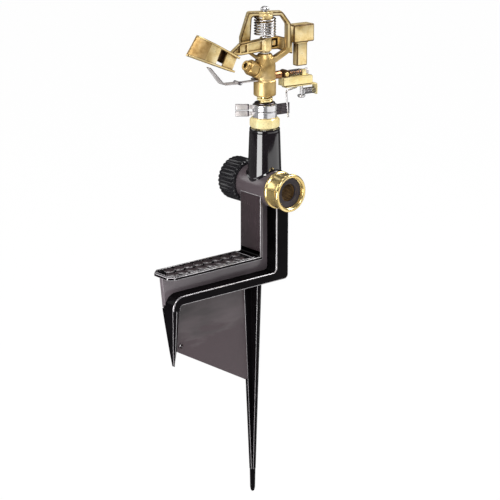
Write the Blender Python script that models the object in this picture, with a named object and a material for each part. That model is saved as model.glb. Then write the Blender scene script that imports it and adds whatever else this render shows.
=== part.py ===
"""Brass impulse sprinkler on a cast step spike.

All sizes are metres. The stand is modelled in its own place, with the riser on the Z axis and the
ground line at Z = 0. The head is modelled with its nozzle along +X and then turned as a whole.
"""
import math

import bmesh
import bpy
from mathutils import Matrix, Vector

for old_object in list(bpy.data.objects):
    bpy.data.objects.remove(old_object, do_unlink=True)

# fits between pieces
GAP = 0.0003
MERGE = 0.000002

# facets on round pieces
ROUND = 32
SMALL_ROUND = 16

# step spike casting
STAND_DEPTH = 0.0266
WEB_THICKNESS = 0.0043
FIN_THICKNESS = 0.0030
FLANGE_THICKNESS = 0.0028
LEG_LEFT = 0.0158
LEG_RIGHT = 0.0160
LEG_BAR = 0.0135
BEAM_BAR = 0.0080
STEP_HEIGHT = 0.0255
STEP_REACH = 0.1125
STEP_CORNER = 0.0045
BAR_END = 0.1111
BAR_CORNER = 0.0040
BAR_BEND = 0.0110
BAR_DROP = 0.0046
INNER_FILLET = 0.0030
BACK_BAR_GAP = 0.0140
BACK_BAR_SLANT = 0.0040
TOE_WIDTH = 0.0089
TOE_DEPTH = 0.0580
TOE_SHOULDER = 0.0440
TOE_KNEE = 0.0180
TOE_LEAN = 0.0108
TOE_NARROWING = 0.0033
SPIKE_OFFSET = 0.0145
SPIKE_REACH = 0.1970
SPIKE_TOP = 0.0100
SPIKE_END = 0.0026
SPIKE_RIB = 0.0038
SPIKE_SOLID_END = 0.0220
SPIKE_DRIFT = 0.0013
SPIKE_CORE = 0.0012
FIN_TOE_DROP = 0.0460
FIN_SPIKE_DROP = 0.0880
FIN_SPIKE_SIDE = 0.0080
FIN_HOLE_RADIUS = 0.0020
FIN_HOLE_IN = 0.0182
FIN_HOLE_DROP = 0.0407
SINK = 0.0010

# tread pattern
TREAD_RELIEF = 0.0009
TREAD_RIM = 0.0016
LOZENGES = 8
LOZENGE_WIDTH = 0.0104

# barrel and riser of the casting
BARREL_HEIGHT = 0.0830
BARREL_RADIUS = 0.0157
BARREL_FRONT = 0.0170
BARREL_BACK = 0.0200
BARREL_BORE = 0.0070
SOCKET_DEPTH = 0.0120
RISER_TOP = 0.1340
RISER_FOOT_RADIUS = 0.0143
RISER_TOP_RADIUS = 0.0130
RISER_SOCKET_DEPTH = 0.0165
SPIGOT_RADIUS = 0.0132
SPIGOT_LENGTH = 0.0156

# hose inlet
NIPPLE_RADIUS = 0.0092
NIPPLE_WALL = 0.0022
NIPPLE_FLANGE_RADIUS = 0.0118
NIPPLE_FLANGE = 0.0025
COUPLING_RADIUS = 0.0162
COUPLING_LENGTH = 0.0174
COUPLING_BORE = 0.0132
COUPLING_RIM = 0.0030
WASHER_THICKNESS = 0.0026
WASHER_BORE = 0.0078
WASHER_RECESS = 0.0036
FILTER_THICKNESS = 0.0008
FILTER_HOLE = 0.0007

# outlet cap
CAP_RADIUS = 0.0189
CAP_LENGTH = 0.0210
CAP_FLOOR = 0.0030
CAP_RIBS = 30
CAP_RIB_HEIGHT = 0.0010
CAP_WASHER = 0.0020

# bearing between riser and head
HEX_FLATS = 0.0220
HEX_HEIGHT = 0.0085
SKIRT_RADIUS = 0.0083
THREAD_RADIUS = 0.0088
COLLAR_RADIUS = 0.01035
COLLAR_HEIGHT = 0.0054
EAR_REACH = 0.0248
EAR_INNER = 0.0135
EAR_THICKNESS = 0.0012
LIP_RADIUS = 0.0088
LIP_THICKNESS = 0.0010
BEARING_GAP = 0.0052
BEARING_WIRE = 0.0015
BEARING_TURNS = 2
SLEEVE_RADIUS = 0.0047
SLEEVE_WALL = 0.0013
SLEEVE_FLANGE_RADIUS = 0.0066
SLEEVE_FLANGE = 0.0018
SEAL_THICKNESS = 0.0020

# head
HEAD_ANGLE = 175.0
BODY_RADIUS = 0.0095
BODY_HEIGHT = 0.0356
BODY_TUBE = 0.0130
BODY_UPPER_RADIUS = 0.0090
JET_RISE = 25.0
JET_HEIGHT = 0.0183
BOSS_RADIUS = 0.0068
BOSS_LENGTH = 0.0107
NOZZLE_FLATS = 0.0115
NOZZLE_HEX = 0.0080
NOZZLE_TIP = 0.0034
NOZZLE_TAIL = 0.0040
ORIFICE_RADIUS = 0.0022

# arch over the arm
ARCH_ANGLE = -24.0
ARCH_DEPTH = 0.0092
ARCH_RISE = 0.0352
ARCH_BAR = 0.0036
ARCH_HALF_TOP = 0.0147
ARCH_HALF_WIDTH = 0.0213
WINDOW_LEFT = 0.0129
WINDOW_RIGHT = 0.0163
ARCH_BOSS_RADIUS = 0.0070
ARCH_BOSS_LENGTH = 0.0066
PIN_RADIUS = 0.0015
SCREW_HEAD_RADIUS = 0.0036
SCREW_HEAD_HEIGHT = 0.0042

# impact arm
HUB_RADIUS = 0.0043
HUB_HEIGHT = 0.0127
BUSH_WALL = 0.0007
ARM_THICKNESS = 0.0050
ARM_SIDE = 0.0003
ARM_DEPTH = 0.0111
ARM_PANEL = 0.0013
ARM_EDGE = 0.0018
SPOON_START = 0.0338
SPOON_RISE = 26.3
SPOON_LENGTH = 0.0449
SPOON_INNER_HEIGHT = 0.0136
SPOON_OUTER_HEIGHT = 0.0191
SPOON_WIDTH = 0.0160
SPOON_PLATE = 0.0019
SPOON_WALL = 0.0021
WEIGHT_START = 0.0258
WEIGHT_LENGTH = 0.0242
WEIGHT_HEIGHT = 0.0150
WEIGHT_DEPTH = 0.0116
POST_START = 0.0288
POST_LENGTH = 0.0140
POST_DEPTH = 0.0088
POST_DROP = 0.0205

# arm spring
SPRING_RADIUS = 0.0087
SPRING_WIRE = 0.0012
SPRING_TURNS = 7
TURN_POINTS = 10

# deflector
STRAP_THICKNESS = 0.0008
STRAP_RING = 0.0118
STRAP_REACH = 0.0276
KNUCKLE_RADIUS = 0.0015
FLAP_RUN = 0.0165
FLAP_RISE_RUN = 0.0122
FLAP_RISE = 0.0160
FLAP_WIDTH = 0.0100

# trip mechanism
TRIP_HEIGHT = 0.0160
TRIP_BOSS_RADIUS = 0.0034
TRIP_BOSS_REACH = 0.0185
TRIP_ROD_RADIUS = 0.0015
TRIP_BAR_START = 0.0135
TRIP_BAR_END = 0.0530
TRIP_BAR_HEIGHT = 0.0066
TRIP_BAR_DROP = 0.0038
TRIP_BAR_DEPTH = 0.0080
TRIP_KNUCKLE = 0.0036
TRIP_PLATE = 0.0012
TRIP_TAB_DROP = 0.0100
TRIP_WIRE = 0.0014
TRIP_WIRE_DROP = 0.0360
TRIP_WIRE_SIDE = 0.0075


def paint(name, colour, roughness, metallic):
    material = bpy.data.materials.new(name)
    material.use_nodes = True
    shader = material.node_tree.nodes["Principled BSDF"]
    shader.inputs["Base Color"].default_value = (*colour, 1.0)
    shader.inputs["Roughness"].default_value = roughness
    shader.inputs["Metallic"].default_value = metallic
    material.diffuse_color = (*colour, 1.0)
    return material


ENAMEL = paint("black enamel", (0.012, 0.011, 0.012), 0.16, 0.0)
CAST_BRASS = paint("cast brass", (0.72, 0.50, 0.20), 0.38, 1.0)
TURNED_BRASS = paint("turned brass", (0.85, 0.62, 0.24), 0.20, 1.0)
STEEL = paint("stainless steel", (0.75, 0.75, 0.77), 0.25, 1.0)
PLASTIC = paint("black plastic", (0.02, 0.019, 0.02), 0.45, 0.0)
RUBBER = paint("rubber", (0.03, 0.03, 0.03), 0.75, 0.0)
NYLON = paint("nylon", (0.75, 0.73, 0.68), 0.5, 0.0)


def solid(name, points, faces):
    """Make a closed mesh object whose faces point out."""
    mesh = bpy.data.meshes.new(name)
    mesh.from_pydata(points, [], faces)
    work = bmesh.new()
    work.from_mesh(mesh)
    bmesh.ops.remove_doubles(work, verts=work.verts, dist=MERGE)
    bmesh.ops.recalc_face_normals(work, faces=work.faces)
    work.to_mesh(mesh)
    work.free()
    made = bpy.data.objects.new(name, mesh)
    bpy.context.collection.objects.link(made)
    return made


def loft(name, sections):
    """Skin rings of equally many points and close both ends."""
    size = len(sections[0])
    points = [point for ring in sections for point in ring]
    faces = [list(range(size)), list(range(len(points) - size, len(points)))]
    for level in range(len(sections) - 1):
        start = level * size
        for index in range(size):
            after = (index + 1) % size
            faces.append([start + index, start + after, start + size + after, start + size + index])
    return solid(name, points, faces)


def prism(name, outline, low, high, along="Y"):
    """Extrude a flat outline between two planes square to an axis."""
    place = {
        "X": lambda a, b, depth: (depth, a, b),
        "Y": lambda a, b, depth: (a, depth, b),
        "Z": lambda a, b, depth: (a, b, depth),
    }[along]
    return loft(name, [[place(a, b, depth) for a, b in outline] for depth in (low, high)])


def lathe(name, profile, segments=ROUND):
    """Turn a closed outline of (radius, height) pairs round the Z axis."""
    size = len(profile)
    points = []
    for step in range(segments):
        angle = 2 * math.pi * step / segments
        points += [(r * math.cos(angle), r * math.sin(angle), z) for r, z in profile]
    faces = []
    for step in range(segments):
        here, there = step * size, ((step + 1) % segments) * size
        for index in range(size):
            after = (index + 1) % size
            if max(profile[index][0], profile[after][0]) > 0:
                faces.append([here + index, there + index, there + after, here + after])
    return solid(name, points, faces)


def rod(name, radius, low, high, segments=SMALL_ROUND):
    return lathe(name, [(0, low), (radius, low), (radius, high), (0, high)], segments)


def stepped(name, first, second, low, change, high, segments=24):
    """A rod with one change of radius, used to cut a bore and its socket together."""
    return lathe(name, [(0, low), (first, low), (first, change), (second, change), (second, high), (0, high)],
                 segments)


def box(name, low, high):
    outline = [(low[0], low[1]), (high[0], low[1]), (high[0], high[1]), (low[0], high[1])]
    return prism(name, outline, low[2], high[2], along="Z")


def rounded(corners, steps=5):
    """Outline from (a, b, radius) corners, each radius drawn as an arc."""
    outline = []
    count = len(corners)
    for index, (a, b, radius) in enumerate(corners):
        here = Vector((a, b))
        if radius == 0:
            outline.append((a, b))
            continue
        back = (Vector(corners[index - 1][:2]) - here).normalized()
        ahead = (Vector(corners[(index + 1) % count][:2]) - here).normalized()
        half = back.angle(ahead) / 2
        centre = here + (back + ahead).normalized() * (radius / math.sin(half))
        start = here + back * (radius / math.tan(half)) - centre
        sweep = start.angle_signed(here + ahead * (radius / math.tan(half)) - centre)
        for step in range(steps + 1):
            arm = Matrix.Rotation(-sweep * step / steps, 2) @ start
            outline.append(tuple(centre + arm))
    return outline


def moved(made, matrix):
    made.data.transform(matrix)
    if matrix.determinant() < 0:
        made.data.flip_normals()
    return made


def turned(made, degrees, axis):
    return moved(made, Matrix.Rotation(math.radians(degrees), 4, axis))


def shifted(made, x=0.0, y=0.0, z=0.0):
    return moved(made, Matrix.Translation((x, y, z)))


def along_y(made, height):
    """Lay a turned piece down so that its own height runs along +Y."""
    return shifted(turned(made, -90, "X"), z=height)


def along_x(made, height):
    """Lay a turned piece down so that its own height runs along +X."""
    return shifted(turned(made, 90, "Y"), z=height)


def combine(target, operation, others):
    """Join, cut or intersect one solid with others and keep the result as its mesh."""
    for other in others:
        other.hide_render = True
        other.display_type = "WIRE"
        step = target.modifiers.new(operation.lower(), "BOOLEAN")
        step.operation = operation
        step.solver = "EXACT"
        step.object = other
        bpy.context.view_layer.update()
        graph = bpy.context.evaluated_depsgraph_get()
        result = bpy.data.meshes.new_from_object(target.evaluated_get(graph))
        target.modifiers.clear()
        target.data = result
        bpy.data.objects.remove(other, do_unlink=True)
    return target


def fuse(target, *others):
    return combine(target, "UNION", others)


def cut(target, *others):
    return combine(target, "DIFFERENCE", others)


def keep(target, *others):
    return combine(target, "INTERSECT", others)


def finish(made, material, parent=None, pivot=(0, 0, 0), smooth=True):
    """Give a piece its material, put its origin on its pivot and hang it on its parent."""
    made.data.materials.clear()
    made.data.materials.append(material)
    if made.type == "MESH":
        made.data.name = made.name
        if smooth:
            made.data.shade_smooth()
            made.data.set_sharp_from_angle(angle=math.radians(32))
    made.data.transform(Matrix.Translation(-Vector(pivot)))
    made.location = pivot
    if parent is not None:
        made.parent = parent
        made.location = Vector(pivot) - Vector(parent["pivot"])
    return made


def axis_empty(name, pivot=(0, 0, 0), parent=None, turn=0.0):
    """An empty on a joint's axis, for the pieces that move with it."""
    empty = bpy.data.objects.new(name, None)
    bpy.context.collection.objects.link(empty)
    empty["pivot"] = tuple(pivot)
    empty.location = pivot
    empty.rotation_euler.z = math.radians(turn)
    if parent is not None:
        empty.parent = parent
        empty.location = Vector(pivot) - Vector(parent["pivot"])
    return empty


def coil(name, radius, wire, low, high, turns, lead=0.0):
    """An open coil of round wire between two heights, as a curve with filled ends."""
    count = turns * TURN_POINTS + 1
    climb = high - low - wire
    route = []
    for step in range(count):
        share = step / (count - 1)
        angle = lead + 2 * math.pi * turns * share
        route.append(Vector((radius * math.cos(angle), radius * math.sin(angle), low + wire / 2 + climb * share)))
    least = climb / turns - wire
    print(name, "turns", turns, "least gap between turns", round(least * 1000, 2), "mm")
    return tube(name, route, wire)


def tube(name, route, wire):
    curve = bpy.data.curves.new(name, "CURVE")
    curve.dimensions = "3D"
    curve.bevel_depth = wire / 2
    curve.bevel_resolution = 1
    curve.use_fill_caps = True
    line = curve.splines.new("POLY")
    line.points.add(len(route) - 1)
    for point, place in zip(line.points, route):
        point.co = (*place, 1.0)
    made = bpy.data.objects.new(name, curve)
    bpy.context.collection.objects.link(made)
    return made


def rectangle(left, right, half_depth, height):
    return [(left, -half_depth, height), (right, -half_depth, height),
            (right, half_depth, height), (left, half_depth, height)]


# heights that follow from the stack of pieces on the riser
HEX_BOTTOM = RISER_TOP + GAP
HEX_TOP = HEX_BOTTOM + HEX_HEIGHT
LOWER_COLLAR = HEX_TOP + GAP
UPPER_COLLAR = LOWER_COLLAR + COLLAR_HEIGHT + GAP
SKIRT_TOP = UPPER_COLLAR + COLLAR_HEIGHT + GAP
LIP_BOTTOM = SKIRT_TOP + GAP
LIP_TOP = LIP_BOTTOM + LIP_THICKNESS
BODY_BOTTOM = LIP_TOP + BEARING_GAP + 2 * GAP
BODY_TOP = BODY_BOTTOM + BODY_HEIGHT
HUB_BOTTOM = BODY_TOP + 0.0005 + 2 * GAP
HUB_TOP = HUB_BOTTOM + HUB_HEIGHT
ARCH_TOP = BODY_TOP + ARCH_RISE
ARCH_UNDER = ARCH_TOP - ARCH_BAR
BOSS_BOTTOM = ARCH_UNDER - ARCH_BOSS_LENGTH
JET_ORIGIN = BODY_BOTTOM + JET_HEIGHT
ROD_HEIGHT = BODY_BOTTOM + TRIP_HEIGHT
STRAP_HEIGHT = BODY_BOTTOM + BODY_TUBE + GAP
SOCKET_RADIUS = NIPPLE_RADIUS + GAP
RISER_SOCKET = THREAD_RADIUS + GAP
SHAFT_BORE = PIN_RADIUS + GAP


def tread():
    """The raised pattern on the step: a rim and two staggered rows of lozenges."""
    half = STAND_DEPTH / 2
    left, right = -STEP_REACH + TREAD_RIM, -LEG_LEFT - 0.006
    top = STEP_HEIGHT + TREAD_RELIEF
    rim = box("rim", (-STEP_REACH + 0.0010, -half + 0.0004, STEP_HEIGHT - 0.001),
              (right, half - 0.0004, top))
    well = box("well", (left + 0.0008, -half + TREAD_RIM, STEP_HEIGHT - 0.002),
               (right - TREAD_RIM, half - TREAD_RIM, top + 0.001))
    pieces = [cut(rim, well)]
    pitch = (right - left - 2 * TREAD_RIM) / (LOZENGES + 0.5)
    for row, side in enumerate((-1, 1)):
        middle = side * LOZENGE_WIDTH / 2
        for index in range(LOZENGES):
            x = left + TREAD_RIM + pitch * (index + 0.5 + row * 0.5)
            rings = []
            for share, height in ((1.0, STEP_HEIGHT - 0.0006), (0.96, STEP_HEIGHT + 0.0002), (0.62, top)):
                long, wide = pitch * 0.47 * share, LOZENGE_WIDTH * 0.47 * share
                rings.append([(x - long, middle, height), (x, middle - wide, height),
                              (x + long, middle, height), (x, middle + wide, height)])
            pieces.append(loft("lozenge", rings))
    return pieces


def step_spike():
    """The casting: step, leg, toe, spike, fin, barrel and riser in one piece."""
    half = STAND_DEPTH / 2
    shoulder = BARREL_HEIGHT - 0.0040
    leg_plate = -LEG_LEFT + FLANGE_THICKNESS
    flange = prism("step_spike", rounded([
        (-LEG_LEFT, shoulder, 0), (-LEG_LEFT, STEP_HEIGHT, INNER_FILLET), (-STEP_REACH, STEP_HEIGHT, 0),
        (-STEP_REACH, STEP_HEIGHT - FLANGE_THICKNESS, 0), (leg_plate, STEP_HEIGHT - FLANGE_THICKNESS, 0),
        (leg_plate, shoulder, 0)]), -half, half)
    bar_inner = LEG_RIGHT - LEG_BAR
    bar_top = BARREL_HEIGHT - 0.0015
    toe_right = -BAR_END + TOE_WIDTH
    front_bar = prism("front bar", rounded([
        (bar_inner, bar_top, 0), (bar_inner, BEAM_BAR, INNER_FILLET), (-BAR_END, BEAM_BAR, BAR_BEND),
        (-BAR_END, -BAR_DROP, 0), (toe_right, -BAR_DROP, 0), (toe_right + BAR_DROP * 0.11, 0, INNER_FILLET),
        (LEG_RIGHT, 0, BAR_CORNER), (LEG_RIGHT, bar_top, 0)]), -half, 0)
    back_bar = prism("back bar", rounded([
        (bar_inner, bar_top, 0), (bar_inner, BEAM_BAR, INNER_FILLET),
        (-BAR_END + BACK_BAR_GAP, BEAM_BAR, INNER_FILLET), (-BAR_END + BACK_BAR_GAP + BACK_BAR_SLANT, 0, 0),
        (LEG_RIGHT, 0, BAR_CORNER), (LEG_RIGHT, bar_top, 0)]), -SINK, half)
    thin = WEB_THICKNESS / 2
    web = prism("web", [
        (-LEG_LEFT + SINK, shoulder - SINK), (-LEG_LEFT + SINK, STEP_HEIGHT - SINK),
        (-BAR_END + SINK * 0.2, STEP_HEIGHT - SINK), (-BAR_END + SINK * 0.2, -BAR_DROP + SINK),
        (-BAR_END + TOE_WIDTH * 2, SINK), (LEG_RIGHT - SINK, BEAM_BAR / 2),
        (LEG_RIGHT - SINK, bar_top - SINK)], -thin, thin)
    toe = loft("toe", [
        [(left, -front, z), (right, -front, z), (right, thin, z), (left, thin, z)]
        for z, left, right, front in (
            (-BAR_DROP + SINK * 0.6, -BAR_END + SINK * 0.1, toe_right - SINK * 0.1, half - SINK * 0.1),
            (-TOE_KNEE, -BAR_END + TOE_LEAN * 0.24, toe_right + TOE_NARROWING * 0.2, half * 0.78),
            (-TOE_SHOULDER, -BAR_END + TOE_LEAN * 0.63, toe_right + TOE_NARROWING, half * 0.30),
            (-TOE_DEPTH, -BAR_END + TOE_LEAN, toe_right + TOE_NARROWING, half * 0.07))])
    fin = prism("fin", [
        (toe_right + TOE_NARROWING * 0.64, BEAM_BAR * 0.3), (toe_right + TOE_NARROWING * 1.24, -TOE_SHOULDER),
        (toe_right + TOE_NARROWING * 1.97, -FIN_TOE_DROP), (-SPIKE_OFFSET - FIN_SPIKE_SIDE, -FIN_SPIKE_DROP),
        (-SPIKE_OFFSET, -FIN_SPIKE_DROP), (-SPIKE_OFFSET, BEAM_BAR * 0.3)],
        -FIN_THICKNESS / 2, FIN_THICKNESS / 2)
    rib_end = -SPIKE_REACH + SPIKE_SOLID_END
    across, along, core = [], [], []
    for z, reach, rib in ((SINK, SPIKE_TOP, SPIKE_RIB), (rib_end, SPIKE_END, SPIKE_RIB * 0.8)):
        x = -SPIKE_OFFSET + (0 if z > 0 else SPIKE_DRIFT)
        across.append(rectangle(x - reach, x + reach, rib / 2, z))
        along.append(rectangle(x - rib / 2, x + rib / 2, reach * 1.03, z + SINK * 0.4))
        root = reach * 0.34 + SPIKE_CORE
        level = z + SINK * 0.8
        core.append([(x - root, 0, level), (x, -root, level), (x + root, 0, level), (x, root, level)])
    point = shifted(lathe("point", [
        (0, rib_end + SPIKE_END), (SPIKE_END * 0.9, rib_end + SPIKE_END), (SPIKE_END, rib_end - SINK),
        (SPIKE_END * 0.86, -SPIKE_REACH + SPIKE_END * 1.5), (SPIKE_END * 0.6, -SPIKE_REACH + SINK),
        (0, -SPIKE_REACH)], 12), x=-SPIKE_OFFSET + SPIKE_DRIFT)

    barrel = along_y(lathe("barrel", [
        (0, -BARREL_FRONT), (BARREL_RADIUS - 0.0010, -BARREL_FRONT), (BARREL_RADIUS, -BARREL_FRONT + 0.0010),
        (BARREL_RADIUS, BARREL_BACK - 0.0008), (BARREL_RADIUS - 0.0008, BARREL_BACK),
        (SPIGOT_RADIUS, BARREL_BACK), (SPIGOT_RADIUS, BARREL_BACK + SPIGOT_LENGTH - 0.001),
        (SPIGOT_RADIUS - 0.001, BARREL_BACK + SPIGOT_LENGTH), (0, BARREL_BACK + SPIGOT_LENGTH)], 40),
        BARREL_HEIGHT)
    groove = RISER_TOP - 0.0028
    riser = lathe("riser", [
        (0, BARREL_HEIGHT + 0.0007), (RISER_FOOT_RADIUS, BARREL_HEIGHT + 0.0007),
        (RISER_FOOT_RADIUS, BARREL_HEIGHT + 0.009),
        (RISER_TOP_RADIUS, groove - 0.0004), (RISER_TOP_RADIUS - 0.0005, groove),
        (RISER_TOP_RADIUS, groove + 0.0005), (RISER_TOP_RADIUS, RISER_TOP - 0.0010),
        (RISER_TOP_RADIUS - 0.0010, RISER_TOP), (0, RISER_TOP)], 40)
    fuse(flange, web, front_bar, back_bar, toe, fin, loft("across", across), loft("along", along),
         loft("core", core), point, barrel, riser, *tread())
    corners = []
    for side in (-1, 1):
        x, y = -STEP_REACH, side * half
        corners.append(prism("corner", [(x - SINK, y - side * STEP_CORNER), (x + STEP_CORNER, y + side * SINK),
                                        (x - SINK, y + side * SINK)],
                             STEP_HEIGHT - 2 * FLANGE_THICKNESS, STEP_HEIGHT + 2 * SINK, along="Z"))
    dimple = along_y(rod("fin hole", FIN_HOLE_RADIUS, -0.01, 0.01), 0)
    shifted(dimple, x=-BAR_END + FIN_HOLE_IN, z=-FIN_HOLE_DROP)
    passage = stepped("passage", SOCKET_RADIUS, BARREL_BORE, -BARREL_FRONT - 0.01,
                      -BARREL_FRONT + SOCKET_DEPTH, BARREL_BACK + SPIGOT_LENGTH + 0.01)
    along_y(turned(passage, 5, "Z"), BARREL_HEIGHT)
    shaft = stepped("shaft", BARREL_BORE * 0.86, RISER_SOCKET, BARREL_HEIGHT + SINK, RISER_TOP - RISER_SOCKET_DEPTH,
                    RISER_TOP + 0.01)
    cut(flange, *corners, dimple, passage, turned(shaft, 4, "Z"))
    return finish(flange, ENAMEL)


def inlet():
    """Brass nipple, swivel coupling, rubber washer and filter on the hose side."""
    back = BARREL_FRONT + 0.0006
    front = BARREL_FRONT + COUPLING_LENGTH + 0.0006
    washer_front = front - WASHER_RECESS
    flange_front = washer_front - WASHER_THICKNESS - GAP
    flange_back = flange_front - NIPPLE_FLANGE
    bore = NIPPLE_RADIUS - NIPPLE_WALL
    nipple = along_y(lathe("inlet_nipple", [
        (bore, -BARREL_FRONT + SOCKET_DEPTH - GAP), (bore, -flange_front), (NIPPLE_FLANGE_RADIUS, -flange_front),
        (NIPPLE_FLANGE_RADIUS, -flange_back), (NIPPLE_RADIUS, -flange_back),
        (NIPPLE_RADIUS, -BARREL_FRONT + SOCKET_DEPTH - GAP)]), BARREL_HEIGHT)
    finish(nipple, TURNED_BRASS)

    swivel = axis_empty("coupling_axis", (0, -front, BARREL_HEIGHT))
    ring = along_y(lathe("hose_coupling", [
        (NIPPLE_RADIUS + GAP, -back), (COUPLING_RADIUS - 0.0008, -back), (COUPLING_RADIUS, -back - 0.0008),
        (COUPLING_RADIUS, -back - 0.0022), (COUPLING_RADIUS - 0.0009, -back - 0.0034),
        (COUPLING_RADIUS - 0.0009, -front + COUPLING_RIM + 0.0012), (COUPLING_RADIUS, -front + COUPLING_RIM),
        (COUPLING_RADIUS, -front + 0.0008), (COUPLING_RADIUS - 0.0008, -front),
        (COUPLING_BORE + 0.0003, -front), (COUPLING_BORE, -front + 0.0006), (COUPLING_BORE, -flange_back + GAP),
        (NIPPLE_RADIUS + GAP, -flange_back + GAP)], 40), BARREL_HEIGHT)
    finish(ring, TURNED_BRASS, swivel, (0, -front, BARREL_HEIGHT))
    washer = along_y(lathe("coupling_washer", [
        (WASHER_BORE, -washer_front), (COUPLING_BORE - GAP, -washer_front),
        (COUPLING_BORE - GAP, -washer_front + WASHER_THICKNESS), (WASHER_BORE, -washer_front + WASHER_THICKNESS)]),
        BARREL_HEIGHT)
    finish(washer, RUBBER, swivel, (0, -front, BARREL_HEIGHT))
    seat = -flange_front - GAP
    screen = along_y(rod("inlet_filter", WASHER_BORE - GAP, seat - FILTER_THICKNESS, seat, 24), BARREL_HEIGHT)
    holes = []
    for ring_index, count in ((0, 1), (1, 6), (2, 12)):
        for index in range(count):
            angle = 2 * math.pi * index / count
            radius = ring_index * FILTER_HOLE * 3.6
            hole = turned(rod("hole", FILTER_HOLE, seat - 0.01, seat + 0.01, 8), 7, "Z")
            along_y(hole, BARREL_HEIGHT)
            holes.append(shifted(hole, x=radius * math.cos(angle), z=radius * math.sin(angle)))
    cut(screen, *holes)
    finish(screen, STEEL, swivel, (0, -front, BARREL_HEIGHT), smooth=False)


def outlet_cap():
    """Ribbed screw cap over the spare outlet, with its sealing washer."""
    start = BARREL_BACK + 0.0004
    end = start + CAP_LENGTH
    base = CAP_RADIUS - CAP_RIB_HEIGHT
    rings = []
    for y, trim in ((start, 0.0009), (start + 0.0008, 0), (end - 0.0012, 0), (end, 0.0014)):
        ring = []
        for index in range(CAP_RIBS * 4):
            angle = 2 * math.pi * (index + 0.5) / (CAP_RIBS * 4)
            radius = (CAP_RADIUS if index % 4 < 2 else base) - trim
            ring.append((radius * math.cos(angle), y, BARREL_HEIGHT + radius * math.sin(angle)))
        rings.append(ring)
    cap = loft("outlet_cap", rings)
    hollow = along_y(rod("hollow", SPIGOT_RADIUS + GAP, start - 0.01, end - CAP_FLOOR, ROUND), BARREL_HEIGHT)
    cut(cap, hollow)
    screw = axis_empty("cap_axis", (0, start, BARREL_HEIGHT))
    finish(cap, PLASTIC, screw, (0, start, BARREL_HEIGHT))
    seal_end = end - CAP_FLOOR - GAP
    seal = along_y(lathe("cap_washer", [
        (BARREL_BORE, seal_end - CAP_WASHER), (SPIGOT_RADIUS - 0.0004, seal_end - CAP_WASHER),
        (SPIGOT_RADIUS - 0.0004, seal_end), (BARREL_BORE, seal_end)]), BARREL_HEIGHT)
    finish(seal, RUBBER, screw, (0, start, BARREL_HEIGHT))


def hexagon(flats):
    radius = flats / math.sqrt(3)
    return [(radius * math.cos(math.radians(60 * k)), radius * math.sin(math.radians(60 * k))) for k in range(6)]


def bearing():
    """Hex nipple, lip washer, bearing spring, sleeve and seal that let the head turn."""
    thread_end = RISER_TOP - RISER_SOCKET_DEPTH + GAP
    shoulder = HEX_BOTTOM - 0.0030
    nipple = turned(prism("bearing_nipple", hexagon(HEX_FLATS), HEX_BOTTOM, HEX_TOP, along="Z"), 18, "Z")
    crown = lathe("crown", [(0, HEX_BOTTOM - 0.001), (HEX_FLATS / 2, HEX_BOTTOM - 0.001),
                            (HEX_FLATS / math.sqrt(3) + 0.001, HEX_BOTTOM + 0.0016),
                            (HEX_FLATS / math.sqrt(3) + 0.001, HEX_TOP - 0.0016),
                            (HEX_FLATS / 2, HEX_TOP + 0.0003), (0, HEX_TOP + 0.0003)])
    keep(nipple, crown)
    fuse(nipple, rod("skirt", SKIRT_RADIUS, HEX_BOTTOM + 0.002, SKIRT_TOP, ROUND),
         rod("thread", THREAD_RADIUS, thread_end, HEX_BOTTOM + 0.002, ROUND))
    cut(nipple, rod("bore", SLEEVE_RADIUS + GAP, thread_end - 0.01, SKIRT_TOP + 0.01, 24),
        rod("counterbore", SLEEVE_FLANGE_RADIUS + GAP, thread_end - 0.01, shoulder, 24))
    finish(nipple, TURNED_BRASS)
    lip = lathe("lip_washer", [
        (SLEEVE_RADIUS + GAP, LIP_BOTTOM), (LIP_RADIUS, LIP_BOTTOM), (LIP_RADIUS, LIP_TOP),
        (SLEEVE_RADIUS + GAP, LIP_TOP)], 24)
    finish(lip, STEEL)
    return shoulder


def collars():
    """The two friction collars with the ears that the trip wire meets."""
    for name, low, ears in (("lower_collar", LOWER_COLLAR, (("left", 140.0), ("right", -8.0))),
                            ("upper_collar", UPPER_COLLAR, (("left", 140.0),))):
        high = low + COLLAR_HEIGHT
        bore = SKIRT_RADIUS + GAP
        ring = lathe(name, [(bore, low), (COLLAR_RADIUS - 0.0004, low), (COLLAR_RADIUS, low + 0.0004),
                            (COLLAR_RADIUS, high - 0.0004), (COLLAR_RADIUS - 0.0004, high), (bore, high)])
        thin = EAR_THICKNESS / 2
        for side, angle in ears:
            top = high if side == "left" else UPPER_COLLAR + COLLAR_HEIGHT - 0.0010
            inner = EAR_INNER if side == "left" else COLLAR_RADIUS + 0.0012
            ear = box("ear", (inner, -thin, low + 0.0002), (EAR_REACH, thin, top - 0.0002))
            neck = box("neck", (COLLAR_RADIUS - 0.001, -thin * 0.8, low + 0.0008),
                       (inner + 0.001, thin * 0.8, high - 0.0008))
            fuse(ring, turned(ear, angle, "Z"), turned(neck, angle, "Z"))
        finish(ring, STEEL)


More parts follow.
